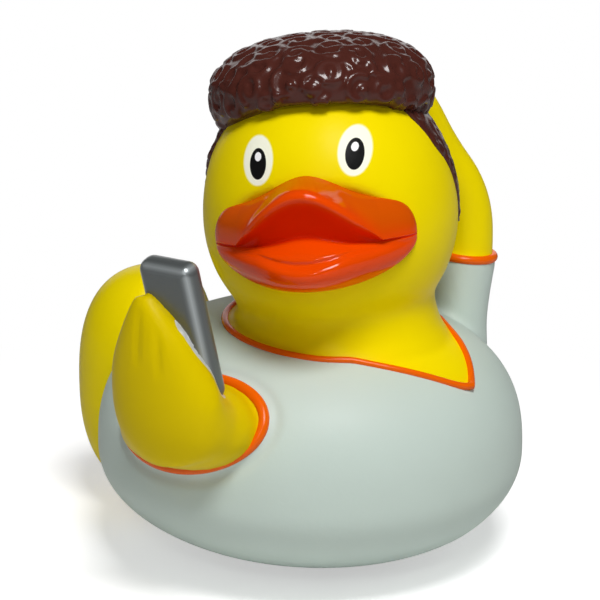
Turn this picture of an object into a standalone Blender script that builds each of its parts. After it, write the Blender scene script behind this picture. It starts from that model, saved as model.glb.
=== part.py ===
"""A soft vinyl bath duck taking a picture of itself, about 90 mm tall.

The duck is one hollow casting with a small squeaker pressed into the hole in its flat base. Its body faces -Y
and its head is turned to its own right, towards -X. Lengths are in metres and +Z is up. The forms are worked out
about the body's own upright axis, and the finished pieces are moved so that the origin is under the middle of
the whole toy. Points in a route are (x, y, z, radius) in millimetres.
"""

import math

import bmesh
import bpy
from mathutils import Matrix, Vector
from mathutils.bvhtree import BVHTree

MM = 0.001

# The middle of the whole toy in plan, seen from the body's own axis.
MIDDLE = Vector((-4.96, 6.11, 0.0)) * MM

# The body: a wide egg that stands on a small flat foot.
BODY_SIDE = 36.1 * MM
BODY_FRONT = 36.8 * MM
BODY_BACK = 37.4 * MM
BODY_WIDEST = 18.7 * MM
BODY_UP = 24.0 * MM
BODY_DOWN = 18.9 * MM
BODY_SQUARE = (2.6, 2.12)
FOOT_RADIUS = 14.0 * MM
FOOT_HIGH = 3.0 * MM
FOOT_DEEP = 3.4 * MM
FOOT_SQUARE = (2.0, 3.5)
STERN_RISE = 0.6 * MM
BILGE_RISE = 1.8 * MM

# The tail: a tall rounded lobe behind the body.
TAIL_MIDDLE = Vector((0.0, 32.5, 23.0)) * MM
TAIL_SIDE = 13.2 * MM
TAIL_FRONT = 7.0 * MM
TAIL_BACK = 16.5 * MM
TAIL_UP = 22.0 * MM
TAIL_DOWN = 20.5 * MM
TAIL_SQUARE = (2.5, 2.5)

# The neck: a turned flare, as (radius, height) in millimetres from the top down, set forward of the body's axis.
NECK_FORWARD = 5.5 * MM
NECK_OUTLINE = (
    (14.0, 54.0),
    (15.6, 48.5),
    (16.6, 45.0),
    (17.4, 42.0),
    (19.2, 39.0),
    (22.5, 36.0),
    (25.0, 32.0),
    (25.0, 28.0),
)

# The collar: round the neck at the back and sides, and drawn out to a point on the chest.
COLLAR_SIDE = 18.4 * MM
COLLAR_BACK = 19.6 * MM
COLLAR_POINT = 26.6 * MM
COLLAR_POINT_ANGLE = math.radians(50.0)
COLLAR_LOWEST = 28.0 * MM
PIPING_RADIUS = 0.75 * MM
CUFF_RADIUS = 0.9 * MM

# The head: an egg that is tilted, nodded and turned about its middle.
HEAD_MIDDLE = Vector((-0.2, -4.1, 60.0)) * MM
HEAD_TURN = math.radians(-65.6)
HEAD_NOD = math.radians(-5.0)
HEAD_TILT = math.radians(-5.0)
HEAD_SIDE = 21.4 * MM
HEAD_FRONT = 22.0 * MM
HEAD_UP = 25.2 * MM
HEAD_DOWN = 22.0 * MM
HEAD = (
    Matrix.Translation(HEAD_MIDDLE)
    @ Matrix.Rotation(HEAD_TURN, 4, "Z")
    @ Matrix.Rotation(HEAD_NOD, 4, "X")
    @ Matrix.Rotation(HEAD_TILT, 4, "Y")
)

# The open beak: heights from the head's middle, and how far its parts stand off the face.
BEAK_HALF_ANGLE = math.radians(49.5)
BEAK_CORNER_Z = -1.4 * MM
BEAK_TOP_Z = 9.2 * MM
BEAK_CHEEK_Z = 4.2 * MM
BEAK_PEAK_HALF_WIDTH = 8.0 * MM
BEAK_BOTTOM_Z = -9.0 * MM
BEAK_UPPER_REACH = 6.6 * MM
BEAK_LOWER_REACH = 8.4 * MM
BEAK_CHEEK_REACH = 1.7 * MM
BEAK_ROOT = 6.5 * MM
FACE_DRAWN_IN = 5.0 * MM
MOUTH_HALF_WIDTH = 12.5 * MM
MOUTH_ARCH = 9.4 * MM
MOUTH_ARCH_FOOT_Z = -1.0 * MM
MOUTH_LINE_Z = -2.4 * MM
MOUTH_LINE_RISE = 5.5 * MM
MOUTH_DEPTH = 2.6 * MM
TONGUE_EDGE = 1.4 * MM

# The hair: a thick crown over the brow, and a short crop round the sides and back.
CROWN_MIDDLE = Vector((-0.3, 1.0, 20.6)) * MM
CROWN_SIDE = 18.9 * MM
CROWN_FRONT = 18.6 * MM
CROWN_BACK = 19.0 * MM
CROWN_UP = 9.7 * MM
CROWN_DOWN_FRONT = 2.4 * MM
CROWN_DOWN_SIDE = 10.5 * MM
CROWN_SQUARE = 2.25
CROP_THICK = 0.35 * MM
CROP_SUNK = 8.0 * MM
CROP_EDGE = 0.6 * MM
NAPE_Z = -11.0 * MM

# The arms. The left one is bent up behind the head, and the right one holds the phone out in a mitten of a hand.
SLEEVE_ROUTE = (
    (26.0, -10.5, 22.0, 9.0),
    (27.8, -12.0, 31.0, 6.0),
    (28.4, -12.2, 38.2, 5.0),
    (30.1, -12.4, 47.3, 5.6),
)
LEFT_ARM_ROUTE = (
    (29.4, -12.5, 40.2, 4.6),
    (30.6, -12.6, 50.2, 4.9),
    (30.0, -11.6, 59.0, 4.8),
    (24.8, -9.0, 67.2, 4.3),
    (20.5, -7.3, 75.0, 4.4),
    (17.5, -5.0, 80.5, 4.2),
)
LEFT_CUFF_MIDDLE = Vector((30.1, -12.4, 47.5)) * MM
LEFT_CUFF_TURN = 5.2 * MM
PALM_MIDDLE = Vector((-33.5, -0.2, 30.8)) * MM
PALM_LEAN = math.radians(-4.0)
PALM_THICK = 10.2 * MM
PALM_LONG = 13.2 * MM
PALM_HIGH = 8.0 * MM
FINGERS_ROUTE = (
    (-35.0, -1.5, 31.0, 9.0),
    (-37.6, -0.9, 35.0, 11.2),
    (-40.4, 0.6, 41.5, 9.4),
    (-42.8, 1.0, 47.5, 6.8),
    (-44.2, 1.4, 53.2, 3.4),
    (-44.6, 1.6, 56.4, 1.6),
)
FINGERS_MIDDLE = Vector((-43.0, 1.0, 48.5)) * MM
FINGERS_FLAT = 0.5
RIGHT_CUFF_MIDDLE = Vector((-48.0, -0.2, 30.6)) * MM
RIGHT_CUFF_LONG = 12.4 * MM
RIGHT_CUFF_HIGH = 7.3 * MM
HAND_VOXEL = 0.7 * MM
HAND_SOFTEN = 12
HAND_TRIANGLES = 2400

# The phone, a slab with soft edges that leans away from the face.
PHONE_THICK = 4.4 * MM
PHONE_WIDE = 10.2 * MM
PHONE_TALL = 25.0 * MM
PHONE_EDGE = 1.5 * MM
PHONE_MIDDLE = Vector((-38.9, -2.5, 48.9)) * MM
PHONE_LEAN = math.radians(-17.0)

# The casting's wall, and the squeaker in its base.
WALL = 2.2 * MM
SQUEAKER_RADIUS = 5.5 * MM
SQUEAKER_HIGH = 5.0 * MM
SQUEAKER_CHAMFER = 0.8 * MM
SQUEAKER_RIM = 1.2 * MM
SQUEAKER_BORE = 1.5 * MM
FIT_GAP = 0.3 * MM

# How finely the forms are joined, and how many triangles are left.
SKIN_VOXEL = 0.5 * MM
SKIN_SOFTEN = 4
SKIN_TRIANGLES = 9800
CAVITY_VOXEL = 1.4 * MM
CAVITY_SOFTEN = 4
CAVITY_TRIANGLES = 1200


def clear_scene():
    for obj in list(bpy.data.objects):
        bpy.data.objects.remove(obj, do_unlink=True)


def collection(name):
    made = bpy.data.collections.new(name)
    bpy.context.scene.collection.children.link(made)
    return made


def paint(name, colour, roughness, metallic=0.0):
    material = bpy.data.materials.new(name)
    material.use_nodes = True
    shader = material.node_tree.nodes["Principled BSDF"]
    shader.inputs["Base Color"].default_value = (*colour, 1.0)
    shader.inputs["Roughness"].default_value = roughness
    shader.inputs["Metallic"].default_value = metallic
    material.diffuse_color = (*colour, 1.0)
    return material


def mesh_object(name, work, home):
    """The bmesh as an object with its faces pointing out."""
    mesh = bpy.data.meshes.new(name)
    bmesh.ops.recalc_face_normals(work, faces=work.faces)
    work.to_mesh(mesh)
    work.free()
    obj = bpy.data.objects.new(name, mesh)
    home.objects.link(obj)
    return obj


def as_mesh(obj, home):
    """The evaluated object as a plain mesh object, which takes its place."""
    bpy.context.view_layer.update()
    graph = bpy.context.evaluated_depsgraph_get()
    mesh = bpy.data.meshes.new_from_object(obj.evaluated_get(graph))
    mesh.transform(obj.matrix_world)
    name = obj.name
    bpy.data.objects.remove(obj, do_unlink=True)
    work = bmesh.new()
    work.from_mesh(mesh)
    bpy.data.meshes.remove(mesh)
    bmesh.ops.remove_doubles(work, verts=work.verts, dist=0.002 * MM)
    return mesh_object(name, work, home)


def smoothstep(low, high, value):
    share = min(1.0, max(0.0, (value - low) / (high - low)))
    return share * share * (3.0 - 2.0 * share)


def ball(segments, rings):
    """A unit ball to be shaped, as a bmesh."""
    work = bmesh.new()
    bmesh.ops.create_uvsphere(work, u_segments=segments, v_segments=rings, radius=1.0)
    return work


def rounded(way, square):
    """How far a direction reaches on a ball that is round in plan, and boxier in height over square 2."""
    return (math.hypot(way.x, way.y) ** square + abs(way.z) ** square) ** (-1.0 / square)


def egg(name, home, middle, side, front, back, up, down, square=(2.0, 2.0), inset=0.0):
    """A closed egg with its own half-length each way, and its own squareness above and below its widest."""
    work = ball(64, 40)
    for vertex in work.verts:
        way = vertex.co.normalized()
        above = way.z > 0.0
        length = (front if way.y < 0.0 else back) - inset
        height = (up if above else down) - inset
        size = Vector((way.x * (side - inset), way.y * length, way.z * height))
        vertex.co = middle + size * rounded(way, square[0] if above else square[1])
    return mesh_object(name, work, home)


def tube(name, home, route, closed=False, smooth=True, sides=3):
    """A round limb or cord along the route. A smooth one follows a curve drawn near its points."""
    curve = bpy.data.curves.new(name, "CURVE")
    curve.dimensions = "3D"
    curve.bevel_depth = 1.0
    curve.bevel_resolution = sides
    curve.use_fill_caps = not closed
    spline = curve.splines.new("NURBS" if smooth else "POLY")
    spline.points.add(len(route) - 1)
    for point, (x, y, z, radius) in zip(spline.points, route):
        point.co = (x * MM, y * MM, z * MM, 1.0)
        point.radius = radius * MM
    spline.use_cyclic_u = closed
    if smooth:
        spline.order_u = 3
        spline.use_endpoint_u = True
        spline.resolution_u = 8
    obj = bpy.data.objects.new(name, curve)
    home.objects.link(obj)
    return as_mesh(obj, home)


def turned(name, home, outline, around, steps):
    """The outline of (radius, height) points turned about the upright axis through around."""
    work = bmesh.new()
    verts = [work.verts.new((radius, 0.0, height)) for radius, height in outline]
    for first, second in zip(verts, verts[1:]):
        work.edges.new((first, second))
    if outline[0][0] > 0.0:
        work.edges.new((verts[-1], verts[0]))
    mesh = bpy.data.meshes.new(name)
    work.to_mesh(mesh)
    work.free()
    obj = bpy.data.objects.new(name, mesh)
    obj.location = around
    home.objects.link(obj)
    turn = obj.modifiers.new("turn", "SCREW")
    turn.steps = steps
    turn.render_steps = steps
    turn.use_merge_vertices = True
    turn.merge_threshold = 0.01 * MM
    return as_mesh(obj, home)


def surface_of(parts):
    """A search tree over the faces of the parts."""
    work = bmesh.new()
    for part in parts:
        work.from_mesh(part.data)
    tree = BVHTree.FromBMesh(work)
    work.free()
    return tree


def fuse(name, parts, home, voxel, soften, triangles):
    """Joins closed forms into one skin with soft inner corners and about the given number of triangles."""
    work = bmesh.new()
    for part in parts:
        work.from_mesh(part.data)
    obj = mesh_object(name, work, home)
    skin = obj.modifiers.new("one skin", "REMESH")
    skin.mode = "VOXEL"
    skin.voxel_size = voxel
    soft = obj.modifiers.new("soft corners", "SMOOTH")
    soft.factor = 0.5
    soft.iterations = soften
    obj = as_mesh(obj, home)
    fewer = obj.modifiers.new("fewer faces", "DECIMATE")
    fewer.ratio = triangles / (2.0 * len(obj.data.polygons))
    fewer.use_collapse_triangulate = True
    return as_mesh(obj, home)


def body_form(home, inset=0.0):
    """The body's egg, with its underside drawn up a little at the sides and towards the tail."""
    middle = Vector((0.0, 0.0, BODY_WIDEST))
    body = egg("body", home, middle, BODY_SIDE, BODY_FRONT, BODY_BACK, BODY_UP, BODY_DOWN, BODY_SQUARE, inset)
    for vertex in body.data.vertices:
        stern = STERN_RISE * max(0.0, vertex.co.y) / BODY_BACK
        bilge = BILGE_RISE * abs(vertex.co.x) / BODY_SIDE
        below = max(0.0, BODY_WIDEST - vertex.co.z) / BODY_DOWN
        vertex.co.z += (stern + bilge) * below
    return body


def foot_form(home):
    """A shallow round pad under the body, cut flat later to stand on."""
    middle = Vector((0.0, 0.0, FOOT_HIGH))
    return egg("foot", home, middle, FOOT_RADIUS, FOOT_RADIUS, FOOT_RADIUS, FOOT_HIGH, FOOT_DEEP, FOOT_SQUARE)


def tail_form(home, inset=0.0):
    return egg("tail", home, TAIL_MIDDLE, TAIL_SIDE, TAIL_FRONT, TAIL_BACK, TAIL_UP, TAIL_DOWN, TAIL_SQUARE, inset)


def neck_form(home, inset=0.0):
    outline = [(0.0, NECK_OUTLINE[0][1] * MM)]
    outline += [(radius * MM - inset, height * MM) for radius, height in NECK_OUTLINE]
    outline += [(0.0, NECK_OUTLINE[-1][1] * MM)]
    return turned("neck", home, outline, (0.0, -NECK_FORWARD, 0.0), 64)


def head_skin(way):
    """The point of the head's plain egg in a direction from its middle."""
    return Vector((way.x * HEAD_SIDE, way.y * HEAD_FRONT, way.z * (HEAD_UP if way.z > 0.0 else HEAD_DOWN)))


def head_form(home):
    """The head's egg, drawn in behind the beak to leave room for the open mouth."""
    work = ball(96, 64)
    for vertex in work.verts:
        way = vertex.co.normalized()
        skin = head_skin(way)
        across = math.atan2(way.x, -way.y) / BEAK_HALF_ANGLE
        inside = 1.0 - smoothstep(0.55, 0.9, math.hypot(across, skin.z / BEAK_TOP_Z))
        vertex.co = skin - way * inside * FACE_DRAWN_IN
    work.transform(HEAD)
    return mesh_object("head", work, home)


def head_hollow(home):
    """The hollow in the head, held back behind the mouth."""
    front = HEAD_FRONT - WALL - BEAK_ROOT
    back = HEAD_FRONT - WALL
    hollow = egg("head_hollow", home, Vector(), HEAD_SIDE - WALL, front, back, HEAD_UP - WALL, HEAD_DOWN - WALL)
    hollow.data.transform(HEAD)
    return hollow


def face_radius(height):
    """The head's radius, seen from above, at a height from its middle."""
    half = HEAD_UP if height > 0.0 else HEAD_DOWN
    return HEAD_SIDE * math.sqrt(max(0.0, 1.0 - (height / half) ** 2))


def beak_section(angle):
    """One upright slice of the beak, from its root over the upper bill, through the mouth and under the lower bill.

    Each point is (distance off the face, height). share runs from 0 in the middle to 1 at a corner of the mouth.
    """
    share = abs(angle) / BEAK_HALF_ANGLE
    end = math.sqrt(1.0 - share**10)
    low_end = math.sqrt(1.0 - share**2.4)
    bow = math.cos(share * math.pi / 2) ** 3
    across = HEAD_SIDE * math.sin(abs(angle))
    peak = math.exp(-((across / BEAK_PEAK_HALF_WIDTH) ** 2))
    top = BEAK_CORNER_Z + (BEAK_CHEEK_Z + (BEAK_TOP_Z - BEAK_CHEEK_Z) * peak - BEAK_CORNER_Z) * end
    bottom = BEAK_CORNER_Z + (BEAK_BOTTOM_Z - BEAK_CORNER_Z) * low_end
    line = MOUTH_LINE_Z * (1.0 - math.exp(-((across / MOUTH_LINE_RISE) ** 2)))
    cheek = BEAK_CHEEK_REACH * end
    upper = cheek + (BEAK_UPPER_REACH - BEAK_CHEEK_REACH) * bow
    lower = cheek + (BEAK_LOWER_REACH - BEAK_CHEEK_REACH) * bow
    mouth = (HEAD_SIDE + upper) * math.sin(abs(angle)) / MOUTH_HALF_WIDTH
    opened = 1.0 - smoothstep(0.72, 1.0, mouth)
    arch = MOUTH_ARCH_FOOT_Z + MOUTH_ARCH * (1.0 - min(1.0, mouth) ** 1.7)
    rim = max(arch, line + 1.3 * MM * end)
    hollow = cheek * 0.55 * (1.0 - opened) - MOUTH_DEPTH * opened
    edge = cheek * 0.8 * (1.0 - opened) + TONGUE_EDGE * opened
    crease = edge + (lower * 0.72 - edge) * opened
    lip = bottom + (line - bottom) * 0.52
    shut = (line - lip) * (1.0 - opened)
    return [
        (-BEAK_ROOT, top - 0.2 * MM * end),
        (0.0, top),
        (upper * 0.55, (top + rim) / 2 + 0.9 * MM * end),
        (upper * 0.92, rim + 0.55 * MM * end),
        (upper + 0.25 * MM * end, rim - 0.35 * MM * end),
        (upper * 0.86, rim - 1.2 * MM * end),
        (hollow + (upper - hollow) * 0.35, rim + (line - rim) * 0.32),
        (hollow, rim + (line - rim) * 0.7),
        (edge - 0.7 * MM * opened, line - 0.1 * MM),
        (edge, line - 0.15 * MM),
        ((edge + crease) / 2, line + (lip - line) * (0.3 + 0.25 * opened)),
        (crease, lip + 0.2 * MM * opened + shut * 0.5),
        ((crease + lower) / 2, lip + 0.35 * MM * opened + shut * 0.3),
        (lower, lip - 0.9 * MM * low_end),
        (lower * 0.9, bottom + 0.7 * MM * low_end),
        (lower * 0.5, bottom - 0.1 * MM),
        (0.0, bottom),
        (-BEAK_ROOT, bottom + 0.3 * MM * low_end),
    ]


def through(points, steps):
    """A closed smooth line through the points, with steps points from each to the next."""
    made = []
    count = len(points)
    for index in range(count):
        before, start, finish, after = (Vector(points[(index + shift) % count]) for shift in (-1, 0, 1, 2))
        bend = 2.0 * before - 5.0 * start + 4.0 * finish - after
        twist = 3.0 * start - before - 3.0 * finish + after
        for step in range(steps):
            t = step / steps
            made.append(0.5 * (2.0 * start + (finish - before) * t + bend * t * t + twist * t * t * t))
    return made


def beak_form(home, slices=49, steps=3):
    """A loft of upright slices fanned round the head's axis, closed at both corners of the mouth."""
    work = bmesh.new()
    loops = []
    for index in range(slices):
        angle = BEAK_HALF_ANGLE * math.sin((index / (slices - 1) - 0.5) * math.pi) * 0.9995
        loop = []
        for stand_off, height in through(beak_section(angle), steps):
            radius = face_radius(height) + stand_off
            loop.append(work.verts.new((radius * math.sin(angle), -radius * math.cos(angle), height)))
        loops.append(loop)
    for left, right in zip(loops, loops[1:]):
        for index, corner in enumerate(left):
            after = (index + 1) % len(left)
            work.faces.new((corner, left[after], right[after], right[index]))
    work.faces.new(loops[0])
    work.faces.new(list(reversed(loops[-1])))
    work.transform(HEAD)
    return mesh_object("beak", work, home)


def crown_form(home):
    """The thick front of the hair. Its underside is high over the brow, and low at the temples and the back."""
    work = ball(64, 40)
    for vertex in work.verts:
        way = vertex.co.normalized()
        toward_brow = max(0.0, -way.y) / max(0.001, math.hypot(way.x, way.y))
        down = CROWN_DOWN_SIDE + (CROWN_DOWN_FRONT - CROWN_DOWN_SIDE) * toward_brow**1.5
        length = CROWN_FRONT if way.y < 0.0 else CROWN_BACK
        size = Vector((way.x * CROWN_SIDE, way.y * length, way.z * (CROWN_UP if way.z > 0.0 else down)))
        vertex.co = CROWN_MIDDLE + size * rounded(way, CROWN_SQUARE)
    work.transform(HEAD)
    return mesh_object("crown", work, home)


def hairline(height):
    """The angle from straight ahead at which the short hair begins, at a height from the head's middle."""
    ear = 8.0 * smoothstep(2.0 * MM, 9.0 * MM, height)
    temple = 14.0 * smoothstep(12.0 * MM, 18.0 * MM, height)
    nape = 30.0 * (1.0 - smoothstep(-12.0 * MM, 6.0 * MM, height))
    return math.radians(90.0 - ear - temple + nape)


def crop_form(home):
    """Short hair: the head's own egg, proud of the skin behind the hairline and sunk out of sight in front."""
    work = ball(128, 80)
    for vertex in work.verts:
        way = vertex.co.normalized()
        skin = head_skin(way)
        behind = (math.atan2(abs(way.x), -way.y) - hairline(skin.z)) * HEAD_SIDE
        share = smoothstep(-CROP_EDGE, CROP_EDGE, min(behind, skin.z - NAPE_Z))
        vertex.co = skin + way * (CROP_THICK * share - CROP_SUNK * (1.0 - share))
    work.transform(HEAD)
    return mesh_object("crop", work, home)


def fingers_form(home):
    """The mitten's flat outer side: a soft tube, thinned across the phone's back."""
    made = tube("fingers", home, FINGERS_ROUTE, sides=8)
    thin = Matrix.Scale(FINGERS_FLAT, 4, Vector((1.0, 0.0, 0.0)))
    made.data.transform(Matrix.Translation(FINGERS_MIDDLE) @ thin @ Matrix.Translation(-FINGERS_MIDDLE))
    return made


def palm_form(home):
    made = egg("palm", home, Vector(), PALM_THICK, PALM_LONG, PALM_LONG, PALM_HIGH, PALM_HIGH)
    made.data.transform(Matrix.Translation(PALM_MIDDLE) @ Matrix.Rotation(PALM_LEAN, 4, "X"))
    return made


def hand_form(home):
    """The mitten and the palm behind it as one soft shape."""
    return fuse("hand", [fingers_form(home), palm_form(home)], home, HAND_VOXEL, HAND_SOFTEN, HAND_TRIANGLES)


def phone_form(home):
    work = bmesh.new()
    bmesh.ops.create_cube(work, size=1.0)
    work.transform(Matrix.Diagonal((PHONE_THICK, PHONE_WIDE, PHONE_TALL, 1.0)))
    bmesh.ops.bevel(work, geom=work.edges[:], offset=PHONE_EDGE, segments=4, profile=0.5, affect="EDGES")
    work.transform(Matrix.Translation(PHONE_MIDDLE) @ Matrix.Rotation(PHONE_LEAN, 4, "Y"))
    return mesh_object("phone", work, home)


def collar_radius(angle):
    """The collar's distance from the neck's axis, at an angle from straight ahead."""
    back = (COLLAR_BACK - COLLAR_SIDE) * (abs(angle) / math.pi) ** 2
    point = (COLLAR_POINT - COLLAR_SIDE) * max(0.0, 1.0 - abs(angle) / COLLAR_POINT_ANGLE) ** 1.6
    return COLLAR_SIDE + back + point


def collar_piping(home, chest):
    """A cord laid on the chest and shoulders along the collar's edge."""
    route = []
    for step in range(72):
        angle = math.radians(5.0 * step - 180.0)
        radius = collar_radius(angle)
        above = Vector((radius * math.sin(angle), -NECK_FORWARD - radius * math.cos(angle), HEAD_MIDDLE.z))
        place = chest.ray_cast(above, Vector((0.0, 0.0, -1.0)))[0] / MM
        route.append((*place, PIPING_RADIUS / MM))
    return tube("collar", home, route, closed=True, smooth=False)


def right_cuff(home, side):
    """A cord laid on the body's side round the root of the hand."""
    route = []
    for step in range(48):
        angle = math.radians(7.5 * step)
        around = Vector((0.0, RIGHT_CUFF_LONG * math.cos(angle), RIGHT_CUFF_HIGH * math.sin(angle)))
        place = side.ray_cast(RIGHT_CUFF_MIDDLE + around, Vector((1.0, 0.0, 0.0)))[0] / MM
        route.append((*place, CUFF_RADIUS / MM))
    return tube("right_cuff", home, route, closed=True, smooth=False)


def left_cuff(home):
    """The hem of the raised sleeve."""
    route = []
    for step in range(24):
        angle = math.radians(15.0 * step)
        place = LEFT_CUFF_MIDDLE + Vector((math.cos(angle), math.sin(angle), 0.0)) * LEFT_CUFF_TURN
        route.append((*(place / MM), CUFF_RADIUS / MM))
    return tube("left_cuff", home, route, closed=True, smooth=False)


def cut(obj, cutters, home):
    """Takes each cutter out of the object."""
    for cutter in cutters:
        away = obj.modifiers.new("cut", "BOOLEAN")
        away.operation = "DIFFERENCE"
        away.solver = "EXACT"
        away.object = cutter
    return as_mesh(obj, home)


def floor_slab(home):
    """Everything below the flat base."""
    work = bmesh.new()
    bmesh.ops.create_cube(work, size=1.0)
    work.transform(Matrix.Translation((0.0, 0.0, -10.0 * MM)) @ Matrix.Diagonal((0.1, 0.1, 20.0 * MM, 1.0)))
    return mesh_object("floor_slab", work, home)


def squeaker_hole(home):
    work = bmesh.new()
    radius = SQUEAKER_RADIUS + FIT_GAP
    depth = 2.0 * (SQUEAKER_HIGH + 1.0 * MM)
    bmesh.ops.create_cone(work, cap_ends=True, segments=48, radius1=radius, radius2=radius, depth=depth)
    return mesh_object("squeaker_hole", work, home)


def squeaker(home):
    """A turned plastic plug with a chamfered top, a rim round its sunk face and an air hole along its axis."""
    face = FIT_GAP + SQUEAKER_CHAMFER
    outline = (
        (SQUEAKER_BORE, SQUEAKER_HIGH),
        (SQUEAKER_RADIUS - SQUEAKER_CHAMFER, SQUEAKER_HIGH),
        (SQUEAKER_RADIUS, SQUEAKER_HIGH - SQUEAKER_CHAMFER),
        (SQUEAKER_RADIUS, FIT_GAP),
        (SQUEAKER_RADIUS - SQUEAKER_RIM, FIT_GAP),
        (SQUEAKER_RADIUS - SQUEAKER_RIM - SQUEAKER_CHAMFER / 2, face),
        (SQUEAKER_BORE, face),
    )
    return turned("squeaker", home, outline, (0.0, 0.0, 0.0), 48)


def in_collar(place):
    """Whether a point of the chest or the neck lies inside the collar."""
    ahead = -place.y - NECK_FORWARD
    inside = math.hypot(place.x, ahead) < collar_radius(math.atan2(place.x, ahead))
    return inside and place.z > COLLAR_LOWEST


def paint_skin(shell, painted, paints):
    """Paints each face like the form it lies nearest to. The chest inside the collar and the hollow stay yellow."""
    names = list(paints)
    trees = {name: surface_of(parts) for name, parts in painted.items()}
    for name in names:
        shell.data.materials.append(paints[name])
    for face in shell.data.polygons:
        distances = {name: tree.find_nearest(face.center)[3] for name, tree in trees.items()}
        nearest = min(distances, key=distances.get)
        if distances[nearest] > WALL / 2 or (nearest == "shirt" and in_collar(face.center)):
            nearest = "skin"
        face.material_index = names.index(nearest)


clear_scene()
guides = collection("guides")
duck = collection("bath_duck")
paints = {
    "shirt": paint("white_paint", (0.56, 0.63, 0.61), 0.35),
    "skin": paint("yellow_vinyl", (0.90, 0.72, 0.0), 0.35),
    "beak": paint("orange_vinyl", (0.90, 0.10, 0.0), 0.2),
    "trim": paint("orange_paint", (0.90, 0.12, 0.0), 0.3),
    "hair": paint("brown_paint", (0.06, 0.015, 0.012), 0.2),
    "phone": paint("silver_paint", (0.30, 0.33, 0.34), 0.35, 0.6),
}

body = body_form(guides)
neck = neck_form(guides)
sleeve = tube("sleeve", guides, SLEEVE_ROUTE, sides=8)
left_arm = tube("left_arm", guides, LEFT_ARM_ROUTE, sides=8)
chest = surface_of([body, neck])
painted = {
    "shirt": [body, foot_form(guides), neck, sleeve],
    "skin": [head_form(guides), left_arm, tail_form(guides), hand_form(guides)],
    "beak": [beak_form(guides)],
    "trim": [collar_piping(guides, chest), left_cuff(guides), right_cuff(guides, chest)],
    "hair": [crown_form(guides), crop_form(guides)],
    "phone": [phone_form(guides)],
}
every_form = [form for group in painted.values() for form in group]
shell = fuse("duck_shell", every_form, duck, SKIN_VOXEL, SKIN_SOFTEN, SKIN_TRIANGLES)

hollows = [body_form(guides, WALL), tail_form(guides, WALL), neck_form(guides, WALL), head_hollow(guides)]
cavity = fuse("cavity", hollows, guides, CAVITY_VOXEL, CAVITY_SOFTEN, CAVITY_TRIANGLES)
shell = cut(shell, [floor_slab(guides), cavity, squeaker_hole(guides)], duck)
paint_skin(shell, painted, paints)
shell.data.shade_smooth()

plug = squeaker(duck)
plug.data.materials.append(paint("clear_plastic", (0.80, 0.80, 0.76), 0.4))
plug.data.shade_smooth()
plug.data.set_sharp_from_angle(angle=math.radians(30.0))

for piece in duck.objects:
    piece.data.transform(Matrix.Translation(-MIDDLE))
for guide in guides.objects:
    guide.hide_render = True
    guide.display_type = "WIRE"
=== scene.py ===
"""The looks of a soft vinyl bath duck that takes its own picture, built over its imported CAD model.

The duck is one casting with several paints, so most pieces here are areas of one skin. Lengths are in metres.
The forms are worked out about the body's own upright axis, and a finished piece is moved to the row's frame.
"""

import math

import bmesh
import bpy
import numpy as np
from mathutils import Matrix, Vector
from mathutils.bvhtree import BVHTree
from mathutils.kdtree import KDTree


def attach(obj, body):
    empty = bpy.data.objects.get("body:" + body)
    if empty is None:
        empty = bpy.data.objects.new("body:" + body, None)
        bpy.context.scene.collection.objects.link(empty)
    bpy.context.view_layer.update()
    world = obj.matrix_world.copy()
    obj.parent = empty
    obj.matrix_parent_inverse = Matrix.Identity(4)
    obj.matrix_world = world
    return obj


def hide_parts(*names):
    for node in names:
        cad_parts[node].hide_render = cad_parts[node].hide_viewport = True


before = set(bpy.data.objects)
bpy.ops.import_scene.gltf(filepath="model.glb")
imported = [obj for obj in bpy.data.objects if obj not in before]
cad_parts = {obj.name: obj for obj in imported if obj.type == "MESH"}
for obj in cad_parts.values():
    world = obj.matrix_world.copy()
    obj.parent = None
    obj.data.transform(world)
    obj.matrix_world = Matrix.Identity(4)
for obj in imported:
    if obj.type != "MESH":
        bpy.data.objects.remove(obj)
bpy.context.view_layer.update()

MM = 0.001

# The casting. One hollow skin of soft yellow vinyl: body, tail, neck, head, both arms and the mitten. The
# white top is sprayed on through a mask, and the eyes are pad-printed in cream, black and a white dot.
# It stands on a small flat ring. Routes, outlines and the places of the eyes are in millimetres.
MIDDLE = Vector((-4.96, 6.11, 0.0)) * MM
TO_ROW = Matrix.Translation(-MIDDLE)

EGG_GRID = (128, 96)
LIMB_SIDES = 12
WELD = 0.002 * MM
BODY_SIDE = 36.1 * MM
BODY_FRONT = 36.8 * MM
BODY_BACK = 37.4 * MM
BODY_WIDEST = 18.7 * MM
BODY_UP = 24.0 * MM
BODY_DOWN = 18.9 * MM
BODY_SQUARE = (2.6, 2.12)
STERN_RISE = 0.6 * MM
BILGE_RISE = 1.8 * MM
FOOT_RADIUS = 14.0 * MM
FOOT_HIGH = 3.0 * MM
FOOT_DEEP = 3.4 * MM
FOOT_SQUARE = (2.0, 3.5)
TAIL_MIDDLE = Vector((0.0, 32.5, 23.0)) * MM
TAIL_SIDE = 13.2 * MM
TAIL_FRONT = 7.0 * MM
TAIL_BACK = 16.5 * MM
TAIL_UP = 22.0 * MM
TAIL_DOWN = 20.5 * MM
TAIL_SQUARE = (2.5, 2.5)
NECK_FORWARD = 5.5 * MM
NECK_OUTLINE = (
    (14.0, 54.0),
    (15.6, 48.5),
    (16.6, 45.0),
    (17.4, 42.0),
    (19.2, 39.0),
    (22.5, 36.0),
    (25.0, 32.0),
    (25.0, 28.0),
)
NECK_STEPS = 96
HEAD_MIDDLE = Vector((-0.2, -4.1, 60.0)) * MM
HEAD_TURN = math.radians(-65.6)
HEAD_NOD = math.radians(-5.0)
HEAD_TILT = math.radians(-5.0)
HEAD_SIDE = 21.4 * MM
HEAD_FRONT = 22.0 * MM
HEAD_UP = 25.2 * MM
HEAD_DOWN = 22.0 * MM
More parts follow.
